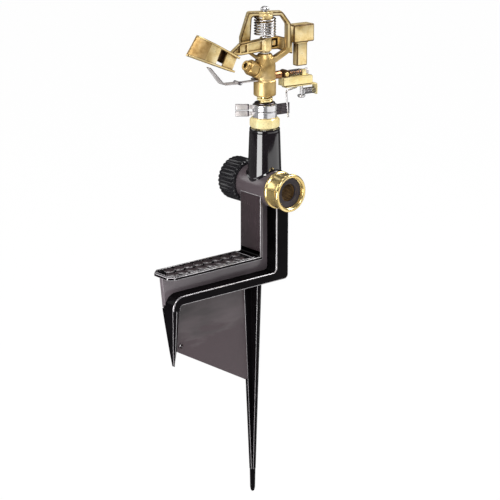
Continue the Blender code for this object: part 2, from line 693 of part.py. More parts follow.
def body(head):
    """The cast brass body with its nozzle boss, trip boss and arch."""
    groove = STRAP_HEIGHT - GAP
    after = STRAP_HEIGHT + STRAP_THICKNESS + GAP
    socket = SLEEVE_RADIUS + GAP
    casting = lathe("sprinkler_body", [
        (socket, BODY_BOTTOM), (BODY_RADIUS - 0.0006, BODY_BOTTOM), (BODY_RADIUS, BODY_BOTTOM + 0.0006),
        (BODY_RADIUS, groove), (BODY_RADIUS - 0.0007, groove), (BODY_RADIUS - 0.0007, after),
        (BODY_UPPER_RADIUS, after), (BODY_UPPER_RADIUS, BODY_TOP - 0.0095),
        (BODY_UPPER_RADIUS - 0.0012, BODY_TOP - 0.0042), (BODY_UPPER_RADIUS - 0.0034, BODY_TOP),
        (0, BODY_TOP), (0, BODY_TOP - 0.012), (SLEEVE_RADIUS - SLEEVE_WALL, BODY_TOP - 0.014),
        (SLEEVE_RADIUS - SLEEVE_WALL, BODY_BOTTOM + 0.0088), (socket, BODY_BOTTOM + 0.0086)])
    boss = jet_place(rod("boss", BOSS_RADIUS, 0, BOSS_LENGTH, 24))
    trip_boss = along_x(rod("trip boss", TRIP_BOSS_RADIUS, -TRIP_BOSS_REACH, -0.0060), ROD_HEIGHT)

    foot = BODY_TOP - 0.0042
    elbow = BODY_TOP + 0.0058
    outer = [(0.0085, foot, 0), (ARCH_HALF_WIDTH, elbow, 0.002), (ARCH_HALF_WIDTH, BODY_TOP + 0.0138, 0.004),
             (ARCH_HALF_TOP, ARCH_TOP, 0.0025), (-ARCH_HALF_TOP + 0.0006, ARCH_TOP, 0.003),
             (-ARCH_HALF_WIDTH, ARCH_TOP - 0.0101, 0.004), (-ARCH_HALF_WIDTH, elbow - 0.0044, 0.003),
             (-0.0085, foot - 0.0034, 0)]
    inner = [(0.0075, foot + 0.0025, 0), (WINDOW_LEFT, elbow - 0.0020, 0.002),
             (WINDOW_LEFT - 0.0009, ARCH_UNDER, 0.0025), (-WINDOW_LEFT + 0.0004, ARCH_UNDER, 0.002),
             (-WINDOW_RIGHT, ARCH_TOP - 0.0108, 0.002), (-WINDOW_RIGHT, elbow - 0.0026, 0.003),
             (-0.0075, foot + 0.0025, 0)]
    half = ARCH_DEPTH / 2
    arch = prism("arch", rounded(outer), -half, half)
    cut(arch, prism("window", rounded(inner), -half - 0.001, half + 0.001))
    turned(arch, ARCH_ANGLE, "Z")
    top_boss = rod("top boss", ARCH_BOSS_RADIUS, BOSS_BOTTOM, ARCH_UNDER + 0.001, 24)
    fuse(casting, boss, trip_boss, arch, top_boss)
    cut(casting, rod("waterway", SLEEVE_RADIUS - SLEEVE_WALL, BODY_BOTTOM + 0.0070, BODY_TOP - 0.0150, 24),
        rod("pin hole", SHAFT_BORE, BODY_TOP - 0.0088, ARCH_TOP + 0.01),
        jet_place(rod("spot face", NOZZLE_FLATS / math.sqrt(3) + GAP, BOSS_LENGTH, BOSS_LENGTH + 0.02, 24)),
        jet_place(stepped("nozzle socket", 0.0030, NOZZLE_TAIL + GAP, 0, 0.0060, BOSS_LENGTH + 0.01, 16)),
        along_x(rod("rod hole", TRIP_ROD_RADIUS + GAP, -TRIP_BOSS_REACH - 0.01, -TRIP_BOSS_REACH + 0.0080),
                ROD_HEIGHT))
    finish(casting, CAST_BRASS, head)


def jet_place(made):
    """Tilt a piece turned round Z so that it lies along the rising jet."""
    return shifted(turned(made, 90 - JET_RISE, "Y"), z=JET_ORIGIN)


def nozzle(head):
    start = BOSS_LENGTH + GAP
    hex_end = start + NOZZLE_HEX
    piece = prism("nozzle", hexagon(NOZZLE_FLATS), start, hex_end, along="Z")
    tip = lathe("tip", [(0, hex_end - 0.001), (0.0046, hex_end - 0.001), (0.0046, hex_end + 0.0006),
                        (0.0038, hex_end + NOZZLE_TIP), (0, hex_end + NOZZLE_TIP)])
    tail = rod("tail", NOZZLE_TAIL, 0.0060 + GAP, start + 0.001)
    fuse(piece, tip, tail)
    cut(piece, rod("orifice", ORIFICE_RADIUS, 0, hex_end + NOZZLE_TIP + 0.01))
    finish(jet_place(piece), TURNED_BRASS, head)


def head_hardware(head, shoulder):
    """Sleeve, seal and spring of the bearing, and the pin, screw and spring under the arch."""
    bottom = shoulder - SEAL_THICKNESS - 2 * GAP - SLEEVE_FLANGE
    bore = SLEEVE_RADIUS - SLEEVE_WALL
    sleeve = lathe("bearing_sleeve", [
        (bore, bottom), (SLEEVE_FLANGE_RADIUS, bottom), (SLEEVE_FLANGE_RADIUS, bottom + SLEEVE_FLANGE),
        (SLEEVE_RADIUS, bottom + SLEEVE_FLANGE), (SLEEVE_RADIUS, BODY_BOTTOM + 0.0083),
        (bore, BODY_BOTTOM + 0.0083)], 24)
    finish(sleeve, TURNED_BRASS, head)
    seal_low = bottom + SLEEVE_FLANGE + GAP
    seal = lathe("seal_washer", [
        (SLEEVE_RADIUS + GAP, seal_low), (SLEEVE_FLANGE_RADIUS, seal_low),
        (SLEEVE_FLANGE_RADIUS, seal_low + SEAL_THICKNESS), (SLEEVE_RADIUS + GAP, seal_low + SEAL_THICKNESS)], 24)
    finish(seal, RUBBER, head)
    wind = coil("bearing_spring", SLEEVE_RADIUS + GAP + BEARING_WIRE / 2 + 0.0003, BEARING_WIRE,
                LIP_TOP + GAP, BODY_BOTTOM - GAP, BEARING_TURNS)
    finish(wind, TURNED_BRASS, head)

    pin_top = BOSS_BOTTOM + 0.0040
    finish(rod("fulcrum_pin", PIN_RADIUS, BODY_TOP - 0.0088 + GAP, pin_top), STEEL, head)
    seat = ARCH_TOP + GAP
    screw = lathe("top_screw", [
        (0, pin_top + GAP), (PIN_RADIUS, pin_top + GAP), (PIN_RADIUS, seat), (SCREW_HEAD_RADIUS, seat),
        (SCREW_HEAD_RADIUS, seat + SCREW_HEAD_HEIGHT * 0.45),
        (SCREW_HEAD_RADIUS * 0.78, seat + SCREW_HEAD_HEIGHT * 0.85), (0, seat + SCREW_HEAD_HEIGHT)], 20)
    slot = box("slot", (-0.01, -0.0004, seat + SCREW_HEAD_HEIGHT * 0.55), (0.01, 0.0004, seat + 0.01))
    finish(cut(screw, slot), STEEL, head)
    washer = lathe("arm_washer", [
        (SHAFT_BORE, BODY_TOP + GAP), (HUB_RADIUS, BODY_TOP + GAP), (HUB_RADIUS, HUB_BOTTOM - GAP),
        (SHAFT_BORE, HUB_BOTTOM - GAP)])
    finish(washer, NYLON, head)
    spring = coil("arm_spring", SPRING_RADIUS, SPRING_WIRE, HUB_TOP + GAP, ARCH_UNDER - GAP, SPRING_TURNS)
    finish(spring, STEEL, head)


def spoon():
    """The hollow end of the arm that the jet strikes, built level and then tilted."""
    outline = [(-0.0003, -SPOON_INNER_HEIGHT / 2), (SPOON_LENGTH, -SPOON_OUTER_HEIGHT / 2),
               (SPOON_LENGTH, SPOON_OUTER_HEIGHT / 2), (0, SPOON_INNER_HEIGHT / 2)]
    half = SPOON_WIDTH / 2
    block = prism("spoon", outline, -half, half)
    taper = prism("taper", [(-0.01, -half * 0.45), (SPOON_LENGTH * 0.55, -half - 0.001),
                            (SPOON_LENGTH + 0.01, -half - 0.001), (SPOON_LENGTH + 0.01, half),
                            (-0.01, half)], -0.02, 0.02, along="Z")
    keep(block, taper)
    inside = [(-0.01, -SPOON_INNER_HEIGHT / 2 + SPOON_PLATE - 0.0005),
              (SPOON_LENGTH + 0.01, -SPOON_OUTER_HEIGHT / 2 + SPOON_PLATE),
              (SPOON_LENGTH + 0.01, SPOON_OUTER_HEIGHT / 2 - SPOON_PLATE),
              (-0.01, SPOON_INNER_HEIGHT / 2 - SPOON_PLATE + 0.0005)]
    room = prism("room", inside, -half - 0.01, half + 0.01)
    curve_in, curve_out = [], []
    start, end = SPOON_LENGTH * 0.47, SPOON_LENGTH
    radius = 0.034
    for step in range(9):
        share = step / 8
        along = start + (end - start) * share
        sag = math.sqrt(radius ** 2 - (along - start + 0.002) ** 2) - radius
        across = half - 0.0006 + sag * 1.5
        curve_in.append((along, across - SPOON_WALL))
        curve_out.append((along, across))
    blade = prism("blade", curve_in + curve_out[::-1], -0.02, 0.02, along="Z")
    vane = prism("vane", [(-0.001, half - 0.0060), (SPOON_LENGTH * 0.29, half - 0.0031),
                          (SPOON_LENGTH * 0.29, half - 0.0010), (-0.001, half - 0.0038)], -0.02, 0.02, along="Z")
    cut(room, blade, vane)
    cut(block, room)
    turned(block, -SPOON_RISE, "Y")
    return shifted(block, x=SPOON_START, z=BODY_TOP - 0.0049)


def impact_arm(arm):
    """Hub, two panelled arms, spoon and counterweight in one casting, with its bush."""
    top = HUB_TOP
    low = HUB_TOP - ARM_DEPTH
    front = ARM_THICKNESS - ARM_SIDE
    hub = rod("impact_arm", HUB_RADIUS, HUB_BOTTOM, HUB_TOP, 24)
    left = prism("left arm", [
        (0.002, top), (0.0270, top - 0.0026), (SPOON_START + 0.0035, top - 0.0100),
        (SPOON_START - 0.0015, low - 0.0018), (0.0270, low - 0.0012), (0.002, low)], -ARM_SIDE, front)
    panels = []
    for start, end in ((0.0060, 0.0196), (0.0218, 0.0268)):
        outline = [(x, top - 0.0026 * x / 0.027 - ARM_EDGE) for x in (start, end)]
        outline += [(x, low - 0.0012 * x / 0.027 + ARM_EDGE) for x in (end, start)]
        panels.append(prism("panel", outline, front - ARM_PANEL, front + 0.01))
    cut(left, *panels)
    right = prism("right arm", [
        (-0.002, top), (-0.0140, top - 0.0006), (-WEIGHT_START - 0.0030, top - 0.0048),
        (-WEIGHT_START - 0.0030, low - 0.0062), (-0.0140, low - 0.0006), (-0.002, low)], -front, ARM_SIDE)
    weight_low = HUB_TOP - 0.0073
    half = WEIGHT_DEPTH / 2
    block = prism("block", rounded([
        (-WEIGHT_START, weight_low, 0.0010), (-WEIGHT_START, weight_low + WEIGHT_HEIGHT, 0.0012),
        (-WEIGHT_START - WEIGHT_LENGTH, weight_low + WEIGHT_HEIGHT, 0.0012),
        (-WEIGHT_START - WEIGHT_LENGTH, weight_low, 0.0012)], 3), -half, half)
    deep = POST_DEPTH / 2
    post_outline = rounded([(-POST_START, -deep, 0.0016), (-POST_START, deep, 0.0016),
                            (-POST_START - POST_LENGTH, deep, 0.0016),
                            (-POST_START - POST_LENGTH, -deep, 0.0016)], 3)
    post = prism("post", post_outline, weight_low - POST_DROP, weight_low + 0.001, along="Z")
    fuse(hub, left, right, block, post, spoon())
    bush_outer = SHAFT_BORE + BUSH_WALL
    cut(hub, rod("hub bore", bush_outer + GAP, HUB_BOTTOM - 0.01, HUB_TOP + 0.01))
    finish(hub, CAST_BRASS, arm)
    bush = lathe("arm_bush", [(SHAFT_BORE, HUB_BOTTOM), (bush_outer, HUB_BOTTOM),
                              (bush_outer, HUB_TOP), (SHAFT_BORE, HUB_TOP)], SMALL_ROUND)
    finish(bush, NYLON, arm)


def deflector(head):
    """Sprung strap in the body's groove, and the flap hinged on its end."""
    inner = BODY_RADIUS - 0.0007 + GAP
    low = STRAP_HEIGHT
    high = low + STRAP_THICKNESS
    ring = lathe("deflector_strap", [(inner, low), (STRAP_RING, low), (STRAP_RING, high), (inner, high)], 40)
    mouth = prism("mouth", [(0, 0), (0.03, 0.010), (0.03, 0.03), (-0.03, 0.03), (-0.03, -0.014)],
                  low - 0.001, high + 0.001, along="Z")
    cut(ring, mouth)
    middle = (low + high) / 2
    eye = along_y(rod("eye", KNUCKLE_RADIUS, -0.0025, 0.0025, 12), 0)
    shifted(eye, x=STRAP_REACH, z=middle)
    tongue = box("tongue", (STRAP_RING - 0.0016, -0.0023, low), (STRAP_REACH, 0.0023, high))
    fuse(ring, tongue, eye)
    pin_bore = 0.0007 + GAP
    cut(ring, shifted(along_y(rod("pin bore", pin_bore, -0.01, 0.01, 12), 0), x=STRAP_REACH, z=middle))
    finish(ring, STEEL, head)
    pin = along_y(rod("deflector_pin", 0.0007, -0.0052, 0.0052, 12), 0)
    finish(shifted(pin, x=STRAP_REACH, z=middle), STEEL, head)

    pivot = (STRAP_REACH, 0, middle)
    tilt = axis_empty("flap_axis", pivot, head)
    thin = STRAP_THICKNESS
    run = STRAP_REACH + FLAP_RUN
    wide = FLAP_WIDTH / 2
    outline = [(STRAP_REACH + KNUCKLE_RADIUS + 0.0006, middle - thin / 2), (run, middle - thin / 2 + 0.0006),
               (run + FLAP_RISE_RUN, middle + FLAP_RISE), (run + FLAP_RISE_RUN - thin * 0.9, middle + FLAP_RISE + thin * 0.5),
               (run - thin * 0.5, middle + thin / 2 + 0.0006),
               (STRAP_REACH + KNUCKLE_RADIUS + 0.0006, middle + thin / 2)]
    flap = prism("deflector_flap", outline, -wide, wide)
    plan = prism("plan", [(STRAP_REACH - 0.002, -0.0046), (run - 0.004, -0.0046), (run, -wide),
                          (run + FLAP_RISE_RUN + 0.001, -wide * 0.6), (run + FLAP_RISE_RUN + 0.001, wide * 0.6),
                          (run, wide), (run - 0.004, 0.0046), (STRAP_REACH - 0.002, 0.0046)],
                 middle - 0.02, middle + 0.03, along="Z")
    keep(flap, plan)
    for side in (-1, 1):
        ear = along_y(rod("ear", KNUCKLE_RADIUS, 0.0028, 0.0046, 12), 0)
        web = box("web", (0, 0.0028, -thin / 2), (KNUCKLE_RADIUS + 0.0012, 0.0046, thin / 2))
        for piece in (ear, web):
            moved(piece, Matrix.Scale(side, 4, (0, 1, 0)))
            shifted(piece, x=STRAP_REACH, z=middle)
        fuse(flap, ear, web)
    cut(flap, shifted(along_y(rod("pin bore", pin_bore, -0.01, 0.01, 12), 0), x=STRAP_REACH, z=middle))
    finish(flap, STEEL, tilt, pivot)


def trip_mechanism(head):
    """The reversing trip behind the body: rod, lever, plate, wire and springs."""
    inner_knuckle, outer_knuckle = 0.0252, 0.0492
    rod_end = TRIP_BAR_END + 0.0022
    pivot_rod = along_x(rod("trip_rod", TRIP_ROD_RADIUS, -rod_end, -TRIP_BOSS_REACH + 0.0080 - GAP), ROD_HEIGHT)
    finish(pivot_rod, STEEL, head)
    nut = prism("rod_nut", hexagon(0.0050), -rod_end - 0.0003, -TRIP_BAR_END + 0.0005, along="Z")
    turned(nut, 90, "Y")
    shifted(nut, z=ROD_HEIGHT)
    cut(nut, along_x(rod("nut bore", TRIP_ROD_RADIUS + GAP, -rod_end - 0.01, 0, SMALL_ROUND), ROD_HEIGHT))
    finish(nut, STEEL, head)

    pivot = (0, 0, ROD_HEIGHT)
    trip = axis_empty("trip_axis", pivot, head)
    bar_top = ROD_HEIGHT - TRIP_BAR_DROP
    bar_low = bar_top - TRIP_BAR_HEIGHT
    half = TRIP_BAR_DEPTH / 2
    lever = prism("trip_lever", rounded([
        (-TRIP_BAR_START, bar_low + 0.0008, 0.0012), (-TRIP_BAR_START, bar_top, 0.0008),
        (-TRIP_BAR_END, bar_top - 0.0012, 0.0008), (-TRIP_BAR_END, bar_low, 0.0012)], 3), -half, half)
    knuckle = along_y(rod("knuckle", TRIP_KNUCKLE, -half, half, 24), ROD_HEIGHT)
    shifted(knuckle, x=-inner_knuckle)
    stem = box("stem", (-inner_knuckle - 0.0026, -half, bar_top - 0.001),
               (-inner_knuckle + 0.0026, half, ROD_HEIGHT))
    ear = box("ear", (-outer_knuckle - 0.0018, -half * 0.7, bar_top - 0.002),
              (-outer_knuckle + 0.0018, half * 0.7, ROD_HEIGHT + 0.0026))
    fuse(lever, knuckle, stem, ear)
    cut(lever, along_x(rod("rod bore", TRIP_ROD_RADIUS + GAP, -0.07, 0.0), ROD_HEIGHT))
    screw_at = 0.0405
    cut(lever, shifted(rod("screw bore", 0.0012 + GAP, bar_low - 0.01, bar_low + 0.0045), x=-screw_at))
    finish(lever, TURNED_BRASS, trip, pivot)

    spring = coil("trip_spring", TRIP_ROD_RADIUS + 0.0010, 0.0008, -outer_knuckle + 0.0018 + GAP,
                  -inner_knuckle - TRIP_KNUCKLE - GAP, 7)
    spring.data.transform(Matrix.Translation((0, 0, ROD_HEIGHT)) @ Matrix.Rotation(math.radians(90), 4, "Y"))
    finish(spring, STEEL, trip, pivot)

    plate_top = bar_low - GAP
    plate_low = plate_top - TRIP_PLATE
    tab = TRIP_BAR_END + 0.0036
    plate = prism("trip_plate", rounded([
        (-0.0200, plate_top, 0), (-0.0200, plate_low, 0), (-tab + TRIP_PLATE, plate_low, 0.0008),
        (-tab + TRIP_PLATE, plate_top - TRIP_TAB_DROP, 0), (-tab, plate_top - TRIP_TAB_DROP, 0),
        (-tab, plate_top, 0.0020)], 3), -half * 0.8, half * 0.8)
    cut(plate, shifted(rod("screw hole", 0.0012 + GAP, plate_low - 0.01, plate_top + 0.01), x=-screw_at))
    finish(plate, CAST_BRASS, trip, pivot)

    head_low = plate_low - 0.0088
    screw = lathe("trip_screw", [
        (0, head_low), (0.0026, head_low + 0.0004), (0.0034, head_low + 0.0014), (0.0034, head_low + 0.0024),
        (0.0012, head_low + 0.0026), (0.0012, bar_low + 0.0042), (0, bar_low + 0.0042)])
    finish(shifted(screw, x=-screw_at), STEEL, trip, pivot)
    snap = coil("snap_spring", 0.0021, 0.0007, -tab + TRIP_PLATE + GAP, -screw_at - 0.0012 - GAP, 7)
    snap_height = plate_low - 0.0036
    snap.data.transform(Matrix.Translation((0, 0, snap_height)) @ Matrix.Rotation(math.radians(90), 4, "Y"))
    finish(snap, STEEL, trip, pivot)

    under = plate_low - GAP - TRIP_WIRE / 2
    side = TRIP_WIRE_SIDE
    foot = ROD_HEIGHT - TRIP_WIRE_DROP
    start = Vector((-0.0330, 0.0004, under))
    bend = Vector((-0.0168, side, under))
    end = Vector((-0.0192, side, foot))
    route = [start]
    for step in range(7):
        share = step / 6
        before = bend + (start - bend).normalized() * 0.0026
        beyond = bend + (end - bend).normalized() * 0.0026
        route.append(before * (1 - share) ** 2 + bend * (2 * share * (1 - share)) + beyond * share ** 2)
    route.append(end)
    finish(tube("trip_wire", route, TRIP_WIRE), STEEL, trip, pivot)


def build():
    step_spike()
    inlet()
    outlet_cap()
    shoulder = bearing()
    collars()
    head = axis_empty("head_axis", turn=HEAD_ANGLE)
    body(head)
    nozzle(head)
    head_hardware(head, shoulder)
    arm = axis_empty("arm_axis", parent=head)
    impact_arm(arm)
    deflector(head)
    trip_mechanism(head)
    bpy.context.view_layer.update()


build()
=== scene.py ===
# Brass impulse sprinkler on a cast step spike, dressed for a studio picture.
# Sizes of pieces are millimetres and become metres as they are made; the camera and the lamps use metres.
import math

import bpy
from mathutils import Matrix, Vector


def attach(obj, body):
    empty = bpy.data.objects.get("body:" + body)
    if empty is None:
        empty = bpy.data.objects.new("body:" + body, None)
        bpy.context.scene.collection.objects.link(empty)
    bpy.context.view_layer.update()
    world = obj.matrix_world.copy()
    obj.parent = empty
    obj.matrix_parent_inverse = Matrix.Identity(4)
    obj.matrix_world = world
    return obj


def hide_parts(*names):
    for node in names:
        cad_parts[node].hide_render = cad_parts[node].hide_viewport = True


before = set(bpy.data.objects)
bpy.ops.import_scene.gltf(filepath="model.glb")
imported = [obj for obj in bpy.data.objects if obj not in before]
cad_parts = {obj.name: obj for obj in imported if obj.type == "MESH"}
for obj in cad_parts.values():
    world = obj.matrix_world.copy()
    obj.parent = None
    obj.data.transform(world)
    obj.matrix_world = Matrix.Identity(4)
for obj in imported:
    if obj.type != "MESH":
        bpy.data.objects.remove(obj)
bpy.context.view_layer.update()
print("frame loaded")

mm = 0.001
headAngle = 175.0

# camera at the photograph's angle
camera = {"azimuth": -40.0, "elevation": 16.8, "distance": 1.5, "lens": 125.0, "aim": (-0.0095, 0.0080, 0.0255)}


def setUpCamera():
    bpy.context.scene.view_settings.view_transform = "Standard"
    side, rise = math.radians(camera["azimuth"]), math.radians(camera["elevation"])
    back = Vector((math.sin(side) * math.cos(rise), -math.cos(side) * math.cos(rise), math.sin(rise)))
    bpy.ops.object.camera_add(location=Vector(camera["aim"]) + back * camera["distance"])
    made = bpy.context.object
    made.rotation_euler = back.to_track_quat("Z", "Y").to_euler()
    made.data.lens = camera["lens"]
    made.data.clip_start = 0.05
    bpy.context.scene.camera = made


# node building

class Signal:
    # a socket in an expression, which adds Math nodes for its operators
    def __init__(self, graph, socket):
        self.graph, self.socket = graph, socket

    def math(self, operation, other):
        return self.graph.add("Math", {"operation": operation}, {0: self, 1: other})

    def greater(self, other):
        return self.math("MAXIMUM", other)

    def __add__(self, other):
        return self.math("ADD", other)

    def __mul__(self, other):
        return self.math("MULTIPLY", other)

    __radd__, __rmul__ = __add__, __mul__


def setStops(ramp, stops):
    while len(ramp.elements) < len(stops):
        ramp.elements.new(0.5)
    for element, (position, colour) in zip(ramp.elements, stops):
        element.position = position
        element.color = (*colour, 1)


def greys(stops):
    return [(position, (share, share, share)) for position, share in stops]


class Graph:
    def __init__(self, tree):
        self.nodes, self.links = tree.nodes, tree.links

    def add(self, kind, settings=None, sockets=None, out=0):
        # a node from its type, its settings and the values or signals of its sockets
        node = self.nodes.new("ShaderNode" + kind)
        for setting, value in (settings or {}).items():
            if setting == "stops":
                setStops(node.color_ramp, value)
            else:
                setattr(node, setting, value)
        self.feed(node, sockets or {})
        return Signal(self, node.outputs[out]) if node.outputs else None

    def feed(self, node, sockets):
        for name, value in sockets.items():
            if isinstance(value, Signal):
                self.links.new(value.socket, node.inputs[name])
            else:
                node.inputs[name].default_value = value

    def ramp(self, source, stops):
        return self.add("ValToRGB", {"stops": stops}, {"Fac": source})

    def blend(self, share, first, second):
        return self.add("MixShader", sockets={"Fac": share, 1: first, 2: second})

    def tint(self, share, first, second):
        sockets = {"Factor": share, "A": first, "B": second}
        return self.add("Mix", {"data_type": "RGBA"}, sockets, "Result")

    def spot(self):
        return self.add("TexCoord", out="Object")

    def ray(self, kind):
        return self.add("LightPath", out="Is %s Ray" % kind)

    def speckle(self, scale, detail, rough, stretch=(1, 1, 1)):
        stretched = self.add("Mapping", sockets={"Scale": stretch, "Vector": self.spot()})
        sockets = {"Scale": scale, "Detail": detail, "Roughness": rough, "Vector": stretched}
        return self.add("TexNoise", sockets=sockets, out="Fac")


# lamps, floor and a white background that only the camera sees at full strength
# the floor's reflection is bright to the right of the object, dim to its left and dark elsewhere
# the floor's height is millimetres, its size and the reach of its near disc are metres
studio = {
    "floor": -197.6, "floorSize": 8, "floorColour": (0.86, 0.86, 0.86, 1), "floorSeen": 0.98,
    "worldFill": 0.60, "worldGloss": 0.04, "glossColour": (1, 0.99, 0.98, 1),
    "nearFloor": 0.45, "nearGloss": [(0.25, 0), (0.45, 0.85)],
    "floorGloss": [
        (0.0, 0.04), (0.192, 0.04), (0.215, 1.0), (0.455, 1.0), (0.480, 0.07), (0.770, 0.07), (0.795, 0.14),
        (0.960, 0.14), (0.985, 0.03)],
}
lamps = {
    "keyLamp": {"at": (-0.9, -0.9, 1.3), "size": (0.7, 0.7), "power": 15.0},
    "stripLamp": {"at": (-0.487, -0.115, -0.02), "size": (0.32, 0.34), "power": 2.4, "aim": (0, 0, -0.02)},
    "backLamp": {"at": (-0.62, 0.78, 0.46), "size": (0.55, 0.45), "power": 1.6},
    "edgeLamp": {"at": (0.60, -0.28, 0.72), "size": (0.50, 0.40), "power": 8.5},
    "topLamp": {"at": (0.1, 0.5, 1.5), "size": (0.9, 0.6), "power": 7.0},
}
white, black = (1, 1, 1, 1), (0, 0, 0, 1)


def hangLamp(name, lamp):
    bpy.ops.object.light_add(type="AREA", location=lamp["at"])
    made = bpy.context.object
    made.name = name
    made.data.shape = "RECTANGLE"
    made.data.size, made.data.size_y = lamp["size"]
    made.data.energy = lamp["power"]
    made.visible_camera = False
    toLamp = Vector(lamp["at"]) - Vector(lamp.get("aim", (0, 0, 0.05)))
    made.rotation_euler = toLamp.to_track_quat("Z", "Y").to_euler()


def setUpWorld():
    world = bpy.data.worlds.new("studio")
    bpy.context.scene.world = world
    world.use_nodes = True
    world.node_tree.nodes.clear()
    graph = Graph(world.node_tree)
    seen, fill, gloss = [
        graph.add("Background", sockets={"Color": colour, "Strength": strength}) for colour, strength in (
            (white, 1.0), (white, studio["worldFill"]), (studio["glossColour"], studio["worldGloss"]))]
    unseen = graph.blend(graph.ray("Glossy"), fill, gloss)
    graph.add("OutputWorld", sockets={"Surface": graph.blend(graph.ray("Camera"), unseen, seen)})


def layFloor():
    bpy.ops.mesh.primitive_plane_add(size=studio["floorSize"], location=(0, 0, studio["floor"] * mm))
    floor = bpy.context.object
    floor.name = "floor"
    bpy.ops.object.transform_apply(location=True, rotation=True, scale=True)
    material, graph, shader = startMaterial("floorWhite")
    graph.feed(shader, {"Base Color": studio["floorColour"], "Roughness": 0.9, "Specular IOR Level": 0.0})
    glow = graph.add("Emission", sockets={"Color": white, "Strength": 1.0})
    dark = graph.add("Emission", sockets={"Color": black, "Strength": 1.0})
    around = graph.add("TexGradient", {"gradient_type": "RADIAL"}, {"Vector": graph.spot()}, "Fac")
    spread = graph.add("Mapping", sockets={"Scale": (1 / studio["nearFloor"],) * 3, "Vector": graph.spot()})
    near = graph.add("TexGradient", {"gradient_type": "SPHERICAL"}, {"Vector": spread}, "Fac")
    sectors = graph.ramp(around, greys(studio["floorGloss"]))
    disc = graph.ramp(near, greys(studio["nearGloss"]))
    lit = graph.blend(graph.ray("Camera") * studio["floorSeen"], Signal(graph, shader.outputs[0]), glow)
    reflected = graph.blend(sectors.greater(disc), dark, glow)
    both = graph.blend(graph.ray("Glossy"), lit, reflected)
    graph.feed(graph.nodes["Material Output"], {"Surface": both})
    floor.data.materials.append(material)


def setUpStudio():
    setUpWorld()
    for name, lamp in lamps.items():
        hangLamp(name, lamp)
    layFloor()


# finishes
# patches is the scale of the colour's pattern; grain has a scale, a bump strength and a bump depth in mm

def startMaterial(name):
    material = bpy.data.materials.new(name)
    material.use_nodes = True
    graph = Graph(material.node_tree)
    return material, graph, graph.nodes["Principled BSDF"]


creviceShadeAndTarnish = {"reach": 8 * mm, "samples": 8, "stops": greys([(0.35, 0), (0.80, 1)])}
patterns = {"patches": {"detail": 3.0, "rough": 0.55}, "grain": {"detail": 5.0, "rough": 0.6}}
grainSpan = {"From Min": 0.3, "From Max": 0.7}
lowFade = {
    "scale": 34, "detail": 5.0, "rough": 0.62, "stretch": (0.6, 1, 2.2), "wander": 0.060, "steep": 40.0,
    "stops": greys([(0.38, 0), (0.62, 1)])}


def addCreviceShade(graph, colour, dark):
    # painted shade and brown tarnish where one surface closes in on another
    near = graph.add("AmbientOcclusion", {"samples": creviceShadeAndTarnish["samples"]}, {"Distance": creviceShadeAndTarnish["reach"]}, "AO")
    return graph.tint(graph.ramp(near, creviceShadeAndTarnish["stops"]), (*dark, 1), colour)


def addFade(graph, colour, level, dark):
    # darker below one height, with a ragged border
    wave = graph.speckle(lowFade["scale"], lowFade["detail"], lowFade["rough"], lowFade["stretch"])
    height = graph.add("SeparateXYZ", sockets={"Vector": graph.spot()}, out="Z") + lowFade["wander"] * wave
    middle = level * mm + lowFade["wander"] / 2
    share = height * lowFade["steep"] + (0.5 - lowFade["steep"] * middle)
    return graph.tint(graph.ramp(share, lowFade["stops"]), (*dark, 1), colour)


def makeFinish(name, finish):
    material, graph, shader = startMaterial(name)
    patches = graph.speckle(
        finish["patches"], stretch=finish.get("patchStretch", (1, 1, 1)), **patterns["patches"])
    colour = graph.ramp(patches, finish["stops"])
    if "fade" in finish:
        colour = addFade(graph, colour, **finish["fade"])
    # painted shade and tarnish darken the hollows
    if "creviceShadeColour" in finish:
        colour = addCreviceShade(graph, colour, finish["creviceShadeColour"])
    scale, strength, depth = finish["grain"]
    grain = graph.speckle(scale, stretch=finish.get("grainStretch", (1, 1, 1)), **patterns["grain"])
    low, high = finish["roughness"]
    span = {**grainSpan, "To Min": low, "To Max": high, "Value": grain}
    bump = {"Strength": strength, "Distance": depth * mm, "Height": grain}
    graph.feed(shader, {
        "Base Color": colour, "Roughness": graph.add("MapRange", sockets=span, out="Result"),
        "Normal": graph.add("Bump", sockets=bump, out="Normal"), "Metallic": finish.get("metallic", 0.0),
        "Coat Weight": finish.get("coat", 0.0), "Coat Roughness": finish.get("coatRoughness", 0.1),
        "Specular IOR Level": finish.get("specular", 0.5)})
    return material


